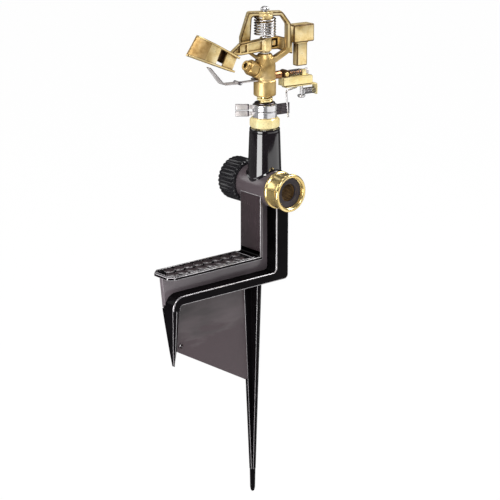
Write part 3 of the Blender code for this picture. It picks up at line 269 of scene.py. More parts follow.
finishes = {
    "castBrass": {
        "patches": 90, "grain": (700, 0.14, 0.06), "roughness": (0.36, 0.5), "metallic": 0.82,
        "creviceShadeColour": (0.16, 0.08, 0.02),
        "stops": [(0.3, (0.33, 0.195, 0.06)), (0.5, (0.57, 0.39, 0.15)), (0.72, (0.74, 0.55, 0.27))]},
    # painted shade: a darker copy of the arm brass for the far part of the blade's curl
    "paintedShadeSpoonBrass": {
        "patches": 160, "grain": (700, 0.2, 0.08), "roughness": (0.4, 0.55), "metallic": 0.82,
        "creviceShadeColour": (0.12, 0.06, 0.015),
        "stops": [(0.3, (0.28, 0.155, 0.045)), (0.5, (0.5, 0.32, 0.12)), (0.72, (0.68, 0.48, 0.23))]},
    "turnedBrass": {
        "patches": 60, "grain": (500, 0.08, 0.05), "roughness": (0.16, 0.28), "metallic": 0.9,
        "grainStretch": (1, 1, 6),
        "stops": [(0.3, (0.8, 0.57, 0.2)), (0.55, (0.93, 0.72, 0.32)), (0.75, (0.97, 0.83, 0.46))]},
    "paleBrass": {
        "patches": 70, "grain": (700, 0.12, 0.05), "roughness": (0.24, 0.36), "metallic": 0.5,
        "grainStretch": (1, 1, 4),
        "stops": [(0.3, (0.84, 0.66, 0.28)), (0.55, (0.95, 0.82, 0.44)), (0.75, (0.99, 0.92, 0.6))]},
    "blackEnamel": {
        "patches": 40, "grain": (120, 0.1, 0.08), "roughness": (0.1, 0.18),
        "specular": 0.04,
        "stops": [(0.3, (0.0015, 0.0012, 0.0015)), (0.7, (0.003, 0.0025, 0.003))]},
    # painted highlight: a lighter, partly metallic enamel for rounded edges, standing for the lamps' glint
    # along them
    "paintedHighlightEnamel": {
        "patches": 260, "grain": (300, 0.1, 0.05), "roughness": (0.14, 0.26), "metallic": 0.22,
        "specular": 1, "coat": 1, "coatRoughness": 0.1,
        "stops": [(0.3, (0.16, 0.15, 0.16)), (0.7, (0.3, 0.28, 0.29))]},
    "glossEnamel": {
        "patches": 40, "grain": (90, 0.08, 0.08), "roughness": (0.06, 0.12),
        "specular": 0.7, "coat": 0.75, "coatRoughness": 0.04,
        "stops": [(0.3, (0.004, 0.003, 0.004)), (0.7, (0.008, 0.006, 0.008))]},
    # painted sheen: these four are copies of the black enamel with grey bases standing for its reflection; the
    # web's is the lightest, painted light against the shade in its recess
    "paintedDimSheenEnamel": {
        "patches": 30, "grain": (160, 0.15, 0.1), "roughness": (0.24, 0.36),
        "coat": 0.7, "coatRoughness": 0.14, "grainStretch": (1, 1, 0.2),
        "stops": [(0.3, (0.018, 0.011, 0.013)), (0.7, (0.028, 0.018, 0.021))]},
    "paintedSheenEnamel": {
        "patches": 30, "grain": (240, 0.2, 0.12), "roughness": (0.28, 0.4),
        "coat": 0.6, "coatRoughness": 0.16,
        "stops": [(0.3, (0.05, 0.037, 0.042)), (0.7, (0.066, 0.051, 0.057))]},
    "paintedSheenFinEnamel": {
        "patches": 26, "grain": (240, 0.2, 0.12), "roughness": (0.28, 0.4),
        "coat": 0.4, "coatRoughness": 0.16, "patchStretch": (0.7, 1, 2.6),
        "fade": {"level": -34, "dark": (0.029, 0.014, 0.019)},
        "stops": [(0.3, (0.02, 0.013, 0.015)), (0.52, (0.044, 0.031, 0.035)), (0.7, (0.058, 0.042, 0.047))]},
    "paintedLightWebEnamel": {
        "patches": 30, "grain": (240, 0.2, 0.12), "roughness": (0.28, 0.4),
        "coat": 0.6, "coatRoughness": 0.16,
        "stops": [(0.3, (0.086, 0.07, 0.079)), (0.7, (0.106, 0.088, 0.098))]},
    # dark steel, and painted shade where it trims edges and darkens the collars' fold and ribbed ear
    "darkSteelAndShade": {
        "patches": 90, "grain": (700, 0.1, 0.04), "roughness": (0.22, 0.36), "metallic": 1,
        "stops": [(0.3, (0.07, 0.06, 0.07)), (0.6, (0.15, 0.13, 0.14)), (0.8, (0.26, 0.23, 0.24))]},
    "armBrass": {
        "patches": 110, "grain": (900, 0.08, 0.04), "roughness": (0.26, 0.4), "metallic": 0.72,
        "creviceShadeColour": (0.16, 0.08, 0.02),
        "stops": [(0.28, (0.58, 0.38, 0.13)), (0.5, (0.86, 0.66, 0.31)), (0.72, (0.97, 0.82, 0.5))]},
    "satinSteel": {
        "patches": 90, "grain": (800, 0.05, 0.03), "roughness": (0.3, 0.42), "metallic": 0.5,
        "stops": [(0.3, (0.38, 0.35, 0.34)), (0.7, (0.58, 0.55, 0.54))]},
    # painted shade: dark brown brass for rounded edges and the filter's strands, standing for the shade and
    # dark outlines along them
    "paintedShadeBrass": {
        "patches": 240, "grain": (700, 0.1, 0.05), "roughness": (0.3, 0.45), "metallic": 0.3,
        "specular": 0.15,
        "stops": [(0.3, (0.04, 0.02, 0.006)), (0.7, (0.15, 0.085, 0.03))]},
    # painted shade: very dark brass for sheets and bands put where shade falls
    "deepShadeBrass": {
        "patches": 120, "grain": (700, 0.1, 0.05), "roughness": (0.3, 0.45), "metallic": 0.8,
        "stops": [(0.3, (0.035, 0.016, 0.006)), (0.7, (0.11, 0.055, 0.02))]},
    "steel": {
        "patches": 80, "grain": (800, 0.08, 0.04), "roughness": (0.14, 0.26), "metallic": 0.85,
        "grainStretch": (1, 1, 8),
        "stops": [(0.3, (0.6, 0.59, 0.6)), (0.6, (0.8, 0.79, 0.8)), (0.8, (0.88, 0.88, 0.89))]},
    "springSteel": {
        "patches": 120, "grain": (900, 0.06, 0.03), "roughness": (0.18, 0.3), "metallic": 1,
        "stops": [(0.3, (0.36, 0.34, 0.34)), (0.55, (0.62, 0.6, 0.6)), (0.8, (0.78, 0.77, 0.77))]},
    # painted shade: coppery brown for the brass trip boss, the knuckle's stem and the steel trip rod, standing
    # for the shade on them
    "paintedShadeCopper": {
        "patches": 110, "grain": (700, 0.15, 0.05), "roughness": (0.3, 0.45), "metallic": 1,
        "stops": [(0.3, (0.3, 0.13, 0.06)), (0.6, (0.48, 0.24, 0.11)), (0.8, (0.6, 0.34, 0.17))]},
    "capPlastic": {
        "patches": 50, "grain": (1500, 0.1, 0.05), "roughness": (0.18, 0.3),
        "specular": 0.45,
        "stops": [(0.3, (0.004, 0.004, 0.005)), (0.7, (0.01, 0.009, 0.011))]},
    "greyRubber": {
        "patches": 60, "grain": (1200, 0.15, 0.05), "roughness": (0.45, 0.6),
        "specular": 0.4,
        "stops": [(0.3, (0.018, 0.014, 0.018)), (0.7, (0.04, 0.032, 0.039))]},
    "rubber": {
        "patches": 60, "grain": (1200, 0.25, 0.06), "roughness": (0.6, 0.8),
        "specular": 0.3,
        "stops": [(0.3, (0.012, 0.012, 0.012)), (0.7, (0.026, 0.025, 0.025))]},
    "nylon": {
        "patches": 60, "grain": (900, 0.1, 0.04), "roughness": (0.4, 0.55),
        "stops": [(0.3, (0.66, 0.63, 0.56)), (0.7, (0.8, 0.78, 0.72))]},
}

looks = {name: makeFinish(name, finish) for name, finish in finishes.items()}
print("finishes made")


# modelling helpers

def pick(piece):
    bpy.ops.object.select_all(action="DESELECT")
    piece.select_set(True)
    bpy.context.view_layer.objects.active = piece


def useModifier(piece, kind, **settings):
    pick(piece)
    modifier = piece.modifiers.new(kind.lower(), kind)
    for setting, value in settings.items():
        setattr(modifier, setting, value)
    bpy.ops.object.modifier_apply(modifier=modifier.name)


def smoothByAngle(piece, angle=35):
    pick(piece)
    bpy.ops.object.shade_smooth_by_angle(angle=math.radians(angle))


def softenEdges(piece, width, segments=2, angle=30):
    useModifier(
        piece, "BEVEL", width=width * mm, segments=segments, limit_method="ANGLE",
        angle_limit=math.radians(angle))
    smoothByAngle(piece, angle + 5)


def paint(piece, *finish):
    piece.data.materials.clear()
    for name in finish:
        piece.data.materials.append(looks[name])
    return piece


def repaint(piece, finish, where):
    # faces whose middle passes the test get another of the piece's finishes
    for polygon in piece.data.polygons:
        if where(polygon.center / mm):
            polygon.material_index = finish


def trimEdges(piece, width, face="blackEnamel", edge="paintedHighlightEnamel", plain=None):
    # flat faces keep one finish and the rounded edges another: a painted highlight on the enamel, painted shade
    # on the brass and the steel; faces that pass plain take the first finish back
    paint(piece, face, edge)
    useModifier(
        piece, "BEVEL", width=width * mm, segments=3, limit_method="ANGLE", angle_limit=math.radians(30),
        material=1)
    smoothByAngle(piece)
    if plain:
        repaint(piece, 0, plain)
    return piece


def mendMesh(piece, fill=False, merge=0.002):
    pick(piece)
    bpy.ops.object.mode_set(mode="EDIT")
    bpy.ops.mesh.select_all(action="SELECT")
    bpy.ops.mesh.remove_doubles(threshold=merge * mm)
    bpy.ops.mesh.delete_loose(use_verts=True, use_edges=True, use_faces=False)
    if fill:
        bpy.ops.mesh.select_all(action="SELECT")
        bpy.ops.mesh.fill_holes(sides=0)
    bpy.ops.mesh.select_all(action="SELECT")
    bpy.ops.mesh.normals_make_consistent(inside=False)
    bpy.ops.object.mode_set(mode="OBJECT")


def place(piece, at=(0, 0, 0), turn=(0, 0, 0)):
    pick(piece)
    piece.location = [value * mm for value in at]
    piece.rotation_euler = [math.radians(angle) for angle in turn]
    bpy.ops.object.transform_apply(location=True, rotation=True, scale=True)
    return piece


def addRing(name, points, filled):
    bpy.ops.object.select_all(action="DESELECT")
    bpy.ops.mesh.primitive_circle_add(vertices=len(points), fill_type="NGON" if filled else "NOTHING")
    piece = bpy.context.object
    piece.name = piece.data.name = name
    for vertex, point in zip(piece.data.vertices, points):
        vertex.co = Vector(point) * mm
    return piece


def makeSlab(name, outline, low, high, across="Y", bevel=0.0, segments=2):
    depth = (high - low) * mm
    if across == "Y":
        points, step = [(a, low, b) for a, b in outline], (0, depth, 0)
    else:
        points, step = [(a, b, low) for a, b in outline], (0, 0, depth)
    piece = addRing(name, points, True)
    bpy.ops.object.mode_set(mode="EDIT")
    bpy.ops.mesh.select_all(action="SELECT")
    bpy.ops.mesh.extrude_region_move(TRANSFORM_OT_translate={"value": step})
    bpy.ops.mesh.select_all(action="SELECT")
    bpy.ops.mesh.normals_make_consistent(inside=False)
    bpy.ops.object.mode_set(mode="OBJECT")
    if bevel:
        softenEdges(piece, bevel, segments)
    return piece


def makeTurned(name, profile, segments=64, angle=35):
    piece = addRing(name, [(radius, 0, height) for radius, height in profile], False)
    bpy.ops.object.mode_set(mode="EDIT")
    bpy.ops.mesh.select_all(action="SELECT")
    bpy.ops.mesh.spin(steps=segments, angle=2 * math.pi, center=(0, 0, 0), axis=(0, 0, 1))
    bpy.ops.object.mode_set(mode="OBJECT")
    mendMesh(piece)
    smoothByAngle(piece, angle)
    return piece


def makeLoft(name, rings, bevel=0.0, segments=2, angle=35):
    around = len(rings[0])
    bpy.ops.object.select_all(action="DESELECT")
    bpy.ops.mesh.primitive_grid_add(x_subdivisions=around, y_subdivisions=len(rings) - 1)
    piece = bpy.context.object
    piece.name = piece.data.name = name
    for index, vertex in enumerate(piece.data.vertices):
        level, step = divmod(index, around + 1)
        vertex.co = Vector(rings[level][step % around]) * mm
    mendMesh(piece, fill=True)
    if bevel:
        softenEdges(piece, bevel, segments)
    smoothByAngle(piece, angle)
    return piece


def makeCoil(name, coil):
    wire = coil["wire"]
    bpy.ops.object.select_all(action="DESELECT")
    bpy.ops.mesh.primitive_circle_add(
        vertices=12, radius=wire / 2 * mm, rotation=(math.radians(90), 0, 0),
        location=(coil["radius"] * mm, 0, (coil["low"] + wire / 2) * mm))
    piece = bpy.context.object
    piece.name = piece.data.name = name
    bpy.ops.object.transform_apply(location=True, rotation=True, scale=True)
    rise = (coil["high"] - coil["low"] - wire) / coil["turns"]
    useModifier(
        piece, "SCREW", axis="Z", angle=2 * math.pi, screw_offset=rise * mm, iterations=coil["turns"], steps=24,
        render_steps=24)
    mendMesh(piece, fill=True, merge=0.001)
    smoothByAngle(piece, 50)
    return piece


def makeWire(name, path, thickness, around=12):
    rings = []
    angles = [2 * math.pi * k / around for k in range(around)]
    for index, point in enumerate(path):
        before, after = Vector(path[max(index - 1, 0)]), Vector(path[min(index + 1, len(path) - 1)])
        along = (after - before).normalized()
        side = along.cross(Vector((0, 1, 0.2))).normalized()
        rise = along.cross(side)
        spokes = [(side * math.cos(angle) + rise * math.sin(angle)) * thickness / 2 for angle in angles]
        rings.append([Vector(point) + spoke for spoke in spokes])
    return makeLoft(name, rings, angle=60)


def joinPieces(name, pieces):
    bpy.ops.object.select_all(action="DESELECT")
    for piece in pieces:
        piece.select_set(True)
    bpy.context.view_layer.objects.active = pieces[0]
    bpy.ops.object.join()
    joined = bpy.context.object
    joined.name = joined.data.name = name
    return joined


def carve(piece, *cutters, operation="DIFFERENCE"):
    for cutter in cutters:
        useModifier(piece, "BOOLEAN", object=cutter, operation=operation, solver="EXACT")
        bpy.data.objects.remove(cutter, do_unlink=True)
    return piece


def blendCasting(piece, voxel, smoothing):
    useModifier(piece, "REMESH", mode="VOXEL", voxel_size=voxel * mm, adaptivity=0.0)
    useModifier(piece, "SMOOTH", factor=0.5, iterations=smoothing)
    pick(piece)
    bpy.ops.object.shade_smooth()
    return piece


def roundCorners(corners, steps=6):
    outline = []
    for index, (a, b, radius) in enumerate(corners):
        if radius == 0:
            outline.append((a, b))
            continue
        here = Vector((a, b))
        toBefore = (Vector(corners[index - 1][:2]) - here).normalized()
        toAfter = (Vector(corners[(index + 1) % len(corners)][:2]) - here).normalized()
        half = toBefore.angle(toAfter) / 2
        reach = radius / math.tan(half)
        middle = here + (toBefore + toAfter).normalized() * radius / math.sin(half)
        first, last = here + toBefore * reach - middle, here + toAfter * reach - middle
        sweep = first.angle_signed(last)
        for step in range(steps + 1):
            turned = first.copy()
            turned.rotate(Matrix.Rotation(-sweep * step / steps, 2))
            outline.append(tuple(middle + turned))
    return outline


def rectangle(left, right, low, high):
    return [(left, low), (right, low), (right, high), (left, high)]


def sleeve(bore, radius, low, high, cut, drop=None):
    # the profile of a turned sleeve with chamfered rims
    drop = cut if drop is None else drop
    return [(bore, low), (radius - cut, low), (radius, low + drop), (radius, high - drop), (radius - cut, high),
            (bore, high)]


def hexagon(flats, turn=0):
    corner = flats / math.sqrt(3)
    angles = [math.radians(60 * k + turn) for k in range(6)]
    return [(corner * math.cos(angle), corner * math.sin(angle)) for angle in angles]


def mirrored(points):
    # a half outline and its reflection across the first axis
    return points + [(a, -b) for a, b in reversed(points)]


def settle(piece, body, slot, *nodes, onHead=False):
    if onHead:
        place(piece, turn=(0, 0, headAngle))
    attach(piece, body)
    if nodes:
        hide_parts(*nodes)


# step spike casting

stand = {
    "depth": 13.3, "web": 2.15, "fin": 1.5, "plate": 2.8, "legLeft": -15.8, "legRight": 16.0,
    "barInner": 2.5, "barTop": 8.0, "barLow": -4.6, "barHigh": 81.5, "barEnd": -111.1, "toe": 8.9,
    "stepTop": 25.5, "stepEnd": -112.5, "chamfer": 4.5, "barrelHeight": 83.0, "bevel": 0.8,
}


def makeBars():
    # the front bar runs down into the toe and the back bar stops short of it
    end, top, low, high = stand["barEnd"], stand["barTop"], stand["barLow"], stand["barHigh"]
    right, toeRight = stand["legRight"], end + stand["toe"]
    bars = []
    for name, side in (("frontBar", -1), ("backBar", 1)):
        rings = []
        for y, draft in ((-0.5 * side, 1.6), (stand["depth"] * side, 0.0)):
            inner, lift = stand["barInner"] - draft, top + draft * 0.4
            toe = [(end + 0.4, lift, 11.0), (end + 1.3, low, 0), (toeRight, low, 0), (toeRight + 0.5, 0, 3.0)]
            stop = [(end + 14.0 - draft, lift, 3.0), (end + 18.0, 0, 0)]
            outline = [(inner, high, 0), (inner, lift, 3.5)] + (toe if side < 0 else stop)
            outline = roundCorners(outline + [(right, 0, 4.0), (right, high, 0)], 8)
            rings.append([(a, y, b) for a, b in outline])
        bars.append(makeLoft(name, rings))
    front, back = bars
    # the bars' rounded edges carry the painted highlight, except the front bar's lowest ones
    return [trimEdges(front, stand["bevel"], plain=lambda spot: spot.z < -3.6), trimEdges(back, stand["bevel"])]


def makePlates():
    depth, plate, end, cut = stand["depth"], stand["plate"], stand["stepEnd"], stand["chamfer"]
    left, top = stand["legLeft"], stand["stepTop"]
    plan = mirrored([(end, -depth + cut), (end + cut, -depth), (left + plate, -depth)])
    tread = makeSlab("treadPlate", plan, top - plate, top, "Z")
    leg = makeSlab("legPlate", rectangle(left, left + plate, top - plate, 79.0), -depth, depth)
    corner = roundCorners([
        (left + 0.6, top - 1, 0), (left + 0.6, top + 4.5, 0), (left, top + 4.5, 0), (left, top, 1.5),
        (left - 4.5, top, 0), (left - 4.5, top - 1, 0)], 8)
    fillet = makeSlab("stepFillet", corner, -depth + 0.4, depth - 0.4)
    smoothByAngle(fillet)
    # the tread's edges carry the painted highlight and the leg plate the dim painted sheen
    return [trimEdges(tread, 0.6), trimEdges(leg, 0.5, "paintedDimSheenEnamel"), paint(fillet, "blackEnamel")]


def makeWebs():
    web, fin, end = stand["web"], stand["fin"], stand["barEnd"]
    toeRight = end + stand["toe"]
    holeAt = (end + 18.2, 0, -40.7)
    panel = makeSlab("web", [
        (stand["legLeft"] + 1, 79.0), (stand["legLeft"] + 1, 24.5), (end - 1.3, 24.5), (end + 1.6, -3.6),
        (end + 17.8, 1.0), (15.0, 4.0), (15.0, 80.5)], -web, web, "Y", 0.5, 3)
    blade = makeSlab("fin", [
        (toeRight + 2.1, 2.4), (toeRight + 4.1, -44.0), (toeRight + 6.5, -46.0), (-22.5, -88.0),
        (-14.5, -88.0), (-14.5, 2.4)], -fin, fin, "Y", 0.45, 3)
    hole = makeTurned("finHole", rectangle(0, 2.0, -10, 10), 32)
    carve(blade, place(hole, at=holeAt, turn=(90, 0, 0)))
    lip = makeTurned("finHoleLip", mirrored([(2.0, -1.9), (2.9, -1.9), (3.2, -1.4)]), 40)
    place(lip, at=holeAt, turn=(90, 0, 0))
    smoothByAngle(blade)
    # the web and the fin carry painted sheen in their grey enamels
    return [paint(panel, "paintedLightWebEnamel"), paint(blade, "paintedSheenFinEnamel"), paint(lip, "paintedSheenFinEnamel")]


def makeToe():
    depth, end = stand["depth"], stand["barEnd"]
    right = end + stand["toe"]
    rings = []
    for z, left, side, front in (
            (-4.0, end + 1.3, right - 0.1, depth - 0.1), (-18.0, end + 3.6, right + 0.7, 10.4),
            (-44.0, end + 8.2, right + 3.3, 4.0), (-58.0, end + 11.0, right + 3.3, 0.93)):
        middle = (left + side) / 2
        rings.append([
            (left, -front + 0.8, z), (middle, -front, z), (side, -front + 1.2, z), (side, 2.1, z),
            (left, 2.1, z)])
    # the toe's edges carry the painted highlight, except its top ones
    return [trimEdges(makeLoft("toe", rings), 0.28, plain=lambda spot: spot.z > -4.7)]


def makeSpike():
    spike = {"middle": -14.5, "lean": 1.3, "start": 1.0, "end": -175.0, "tip": -197.0, "along": 1.03}
    end, tip = spike["end"], spike["tip"]
    levels = [
        (spike["start"], spike["middle"], 10.0, 1.9, 4.6),
        (end, spike["middle"] + spike["lean"], 2.6, 1.5, 2.1)]
    crossRings, alongRings, coreRings = [], [], []
    for z, x, reach, rib, root in levels:
        for rings, wide, deep in ((crossRings, reach, rib), (alongRings, rib, reach * spike["along"])):
            rings.append([(a, b, z) for a, b in rectangle(x - wide, x + wide, -deep, deep)])
        coreRings.append([(x - root, 0, z), (x, -root, z), (x + root, 0, z), (x, root, z)])
    point = makeTurned("spikePoint", [
        (0, end + 3), (2.4, end + 2.6), (2.6, end - 1), (2.25, tip + 4), (1.7, tip + 1), (0.9, tip),
        (0, tip)], 24)
    place(point, at=(spike["middle"] + spike["lean"], 0, 0))
    across, along = makeLoft("spikeAcross", crossRings), makeLoft("spikeAlong", alongRings)
    core = makeLoft("spikeCore", coreRings)
    # the ribs' edges carry the painted highlight
    ribs = [trimEdges(across, 0.25), trimEdges(along, 0.25)]
    return ribs + [paint(core, "blackEnamel"), paint(point, "blackEnamel")]


def towardsHose(piece):
    return place(piece, at=(0, 0, stand["barrelHeight"]), turn=(90, 0, 0))


def towardsCap(piece):
    return place(piece, at=(0, 0, stand["barrelHeight"]), turn=(-90, 0, 0))


def makeBarrel():
    barrel = makeTurned("barrel", [
        (7.0, -17.0), (14.9, -17.0), (15.5, -16.7), (15.7, -16.1), (15.7, 19.3), (15.5, 19.8), (15.0, 20.0),
        (13.2, 20.0), (13.2, 34.8), (12.4, 35.6), (7.0, 35.6)], 96)
    towardsCap(barrel)
    riser = makeTurned("riser", [
        (0, 84.0), (14.6, 84.0), (14.5, 92.0), (13.15, 130.2), (13.0, 130.9), (12.45, 131.1), (12.45, 131.5),
        (13.0, 131.8), (13.0, 133.2), (12.7, 133.8), (12.1, 134.0), (9.1, 134.0), (9.1, 128.0), (0, 128.0)], 96)
    foot = makeTurned("riserFillet", [
        (11.0, 95.0), (14.2, 100.6), (14.5, 98.2), (15.1, 96.6), (16.1, 95.3), (15.0, 92.0), (11.0, 92.0)], 96)
    shell = makeTurned("filletShell", rectangle(0, 17.0, -16.0, 16.0), 64)
    carve(foot, towardsCap(shell), operation="INTERSECT")
    smoothByAngle(foot)
    # the barrel's grey enamel is painted sheen
    return [paint(barrel, "paintedSheenEnamel"), paint(riser, "glossEnamel"), paint(foot, "glossEnamel")]


def makeTread():
    depth, end, top = stand["depth"], stand["stepEnd"], stand["stepTop"]
    leaf = {
        "count": 8, "rim": 1.6, "rise": 1.0, "wide": 5.2, "sides": 8, "long": 0.54, "fill": 0.90, "point": 1.35,
        "slant": 1.2}
    left, right = end + leaf["rim"], stand["legLeft"] - 6.0
    pitch = (right - left - 2 * leaf["rim"]) / (leaf["count"] + 0.5)
    plates = []
    for name, edge, cut, across, stop, low, high in (
            ("treadRim", 0.9, 4.0, 0.7, right, top - 0.5, top + 0.85),
            ("treadWell", 2.4, 2.9, 2.0, right - 1.5, top - 2, top + 3)):
        corner = end + edge + cut
        plan = mirrored([(end + edge, -depth + edge + cut), (corner, -depth + across), (stop, -depth + across)])
        plates.append(makeSlab(name, plan, low, high, "Z"))
    rim, well = plates
    # the tread's rim carries the painted highlight on its edges
    pieces = [trimEdges(carve(rim, well), 0.3)]
    for row, side in enumerate((-1, 1)):
        for index in range(leaf["count"]):
            x = left + leaf["rim"] + pitch * (index + 0.5 + row * 0.5)
            rings = []
            for share, height in (
                    (1.0, top - 0.4), (0.98, top + 0.5), (0.88, top + 0.9), (0.40, top + leaf["rise"])):
                ring = []
                for step in range(2 * leaf["sides"]):
                    turn = math.pi * step / leaf["sides"]
                    along = math.cos(turn)
                    bulge = math.copysign(abs(math.sin(turn)) ** leaf["point"], math.sin(turn))
                    across = leaf["wide"] * (side + leaf["fill"] * share * bulge) + leaf["slant"] * along * side
                    ring.append((x + pitch * leaf["long"] * share * along, across, height))
                rings.append(ring)
            # the leaves carry the dim painted sheen on top and the painted highlight on their low sides
            pieces.append(paint(makeLoft("leaf", rings, angle=50), "paintedDimSheenEnamel", "paintedHighlightEnamel"))
            repaint(pieces[-1], 1, lambda spot: spot.z < top + 0.4)
    return pieces


parts = makeWebs() + makeBars() + makePlates() + makeToe() + makeSpike() + makeTread() + makeBarrel()
stepSpike = joinPieces("stepSpike", parts)
settle(stepSpike, "stand", "enamel", "step_spike")
print("stand made", len(stepSpike.data.polygons), "faces")


# hose inlet and outlet cap

def makeInlet():
    coupling = {
        "back": 17.6, "front": 35.0, "radius": 16.2, "waist": 15.2, "bore": 13.2, "seat": 25.7, "hole": 9.5}
    back, front, radius, waist, bore, seat, hole = coupling.values()
    profile = [
        (hole, back), (radius - 0.9, back), (radius - 0.25, back + 0.25), (radius, back + 0.9),
        (radius, back + 2.0), (radius - 0.3, back + 2.6), (waist, back + 3.2), (waist, front - 4.6),
        (waist + 0.15, front - 4.2), (radius - 0.15, front - 3.3), (radius, front - 2.8), (radius, front - 1.1),
        (radius - 0.25, front - 0.45), (radius - 0.7, front - 0.08), (radius - 1.3, front), (bore + 1.0, front),
        (bore + 0.35, front - 0.3), (bore, front - 0.9)]
    for turn in range(2):
        low = front - 1.6 - turn * 1.1
        profile += [(bore, low), (bore + 0.45, low - 0.3), (bore + 0.45, low - 0.6), (bore, low - 0.9)]
    ring = towardsHose(makeTurned("hoseCoupling", profile + [(bore, seat), (hole, seat)], 96))
    settle(paint(ring, "turnedBrass"), "coupling", "turned_brass", "hose_coupling")

    seal = makeTurned("couplingWasher", [
        (7.8, 28.9), (12.9, 28.9), (12.9, 31.1), (12.6, 31.4), (12.0, 31.4), (11.4, 31.25), (8.8, 31.25),
        (8.4, 31.4), (8.0, 31.35), (7.8, 31.1)], 96)
    settle(paint(towardsHose(seal), "greyRubber"), "coupling", "rubber", "coupling_washer")

    mesh = {"reach": 7.4, "pitch": 1.25, "wire": 0.42, "at": 29.2, "shortest": 1.0, "steps": 8}
    rim = makeTurned("filterRim", rectangle(6.7, 7.45, 28.85, 29.55), 64)
    strands = [place(rim, turn=(90, 0, 0))]
    count = int(mesh["reach"] // mesh["pitch"])
    for index in range(-count, count + 1):
        offset = index * mesh["pitch"]
        reach = math.sqrt(max(mesh["reach"] ** 2 - offset ** 2, 0)) - 0.15
        if reach < mesh["shortest"]:
            continue
        spots = [reach * step / mesh["steps"] for step in range(-mesh["steps"], mesh["steps"] + 1)]
        weft = [(along, -mesh["at"], offset) for along in spots]
        warp = [(offset, 0.22 - mesh["at"], along) for along in spots]
        strands += [makeWire("strand", path, mesh["wire"], 6) for path in (weft, warp)]
    # a black disc behind the mesh stands for the shade inside the bore
    disc = makeTurned("filterShadeDisc", rectangle(0, 7.0, 28.80, 28.95), 48)
    # the strands take the dark brass of painted shade
    strands = [paint(piece, "paintedShadeBrass") for piece in strands]
    strands.append(paint(place(disc, turn=(90, 0, 0)), "blackEnamel"))
    screen = place(joinPieces("inletFilter", strands), at=(0, 0, stand["barrelHeight"]))
    settle(screen, "coupling", "steel", "inlet_filter")


def makeCap():
    cap = {
        "start": 20.4, "end": 41.4, "radius": 18.9, "groove": 17.8, "bore": 13.5, "dish": 12.5, "ribs": 30,
        "ribSteps": 8, "ribWidth": 1.7, "ribPower": 0.8}
    start, end, outer, groove, bore, dish, ribs, ribSteps, ribWidth, ribPower = cap.values()
    rings = []
    steps = ribs * ribSteps
    for y, trim, share in (
            (start, 1.3, 0.0), (start + 0.3, 0.6, 0.3), (start + 1.2, 0.1, 1.0), (end - 2.6, 0.0, 1.0),
            (end - 1.2, 0.35, 0.9), (end - 0.4, 1.0, 0.5), (end, 2.0, 0.0)):
        ring = []
        for step in range(steps):
            turn = 2 * math.pi * step / steps
            wave = 0.5 + 0.5 * math.cos(turn * ribs)
            bump = min(1.0, wave * ribWidth) ** ribPower
            radius = groove + (outer - groove) * bump * share - trim
            ring.append((radius * math.cos(turn), y, radius * math.sin(turn)))
        rings.append(ring)
    piece = makeLoft("outletCap", rings, angle=55)
    hollow = makeTurned("hollow", rectangle(0, bore, 0, end - 3.0), 64)
    face = makeTurned("dish", [(0, end - 0.8), (dish, end - 0.8), (dish + 0.8, end + 2), (0, end + 2)], 64)
    carve(piece, place(hollow, turn=(-90, 0, 0)), place(face, turn=(-90, 0, 0)))
    button = makeTurned("gateMark", [
        (0, end - 1.0), (1.6, end - 1.0), (1.6, end - 0.5), (1.2, end - 0.35), (0, end - 0.35)], 24)
    piece = joinPieces("outletCap", [piece, place(button, turn=(-90, 0, 0))])
    place(piece, at=(0, 0, stand["barrelHeight"]))
    smoothByAngle(piece, 40)
    settle(paint(piece, "capPlastic"), "cap", "cap_plastic", "outlet_cap")


makeInlet()
makeCap()
print("inlet and cap made")


# bearing and friction collars

def makeBearing():
    nut = {"flats": 22.0, "low": 134.3, "high": 142.8, "turn": 18}
    flats, low, high, turn = nut.values()
    block = makeSlab("bearingNut", hexagon(flats, turn), low, high, "Z")
    corner = flats / math.sqrt(3) + 0.3
    crown = makeTurned("crown", [
        (0, low - 1), (flats / 2, low - 1), (flats / 2, low), (corner, low + 1.5), (corner, high - 1.5),
        (flats / 2, high), (flats / 2, high + 1), (0, high + 1)], 96)
    carve(block, crown, operation="INTERSECT")
    # painted shade along the nut's edges
    trimEdges(block, 0.4, "paleBrass", "paintedShadeBrass")
    skirt = makeTurned("skirt", [
        (5.0, 118.0), (8.8, 118.0), (8.8, 136.0), (8.3, 136.0), (8.3, 154.1), (7.9, 154.5), (5.0, 154.5)], 64)
    seat = makeTurned("nutSeat", [(8.0, 142.0), (9.9, 142.0), (9.9, 142.95), (9.6, 143.05), (8.0, 143.05)], 64)
    nutPiece = joinPieces("bearingNipple", [block, paint(skirt, "turnedBrass"), paint(seat, "turnedBrass")])
    settle(nutPiece, "stand", "turned_brass", "bearing_nipple")
    lip = makeTurned("lipWasher", sleeve(5.0, 8.8, 154.8, 155.8, 0.2), 64)
    settle(paint(lip, "darkSteelAndShade"), "stand", "steel", "lip_washer")
    spring = makeCoil("bearingSpring", {"radius": 6.05, "wire": 1.5, "low": 156.1, "high": 161.3, "turns": 2})
    place(spring, turn=(0, 0, 200))
    settle(paint(spring, "paleBrass"), "head", "turned_brass", "bearing_spring")


def makeStrip(name, left, right, low, high, half, bevel, turn, finish=None):
    part = makeSlab(name, rectangle(left, right, low, high), -half, half, "Y", bevel)
    if finish:
        paint(part, finish)
    else:
        # the strip's dark edges are painted shade
        trimEdges(part, 0.35, "satinSteel", "darkSteelAndShade")
    return place(part, turn=(0, 0, turn))


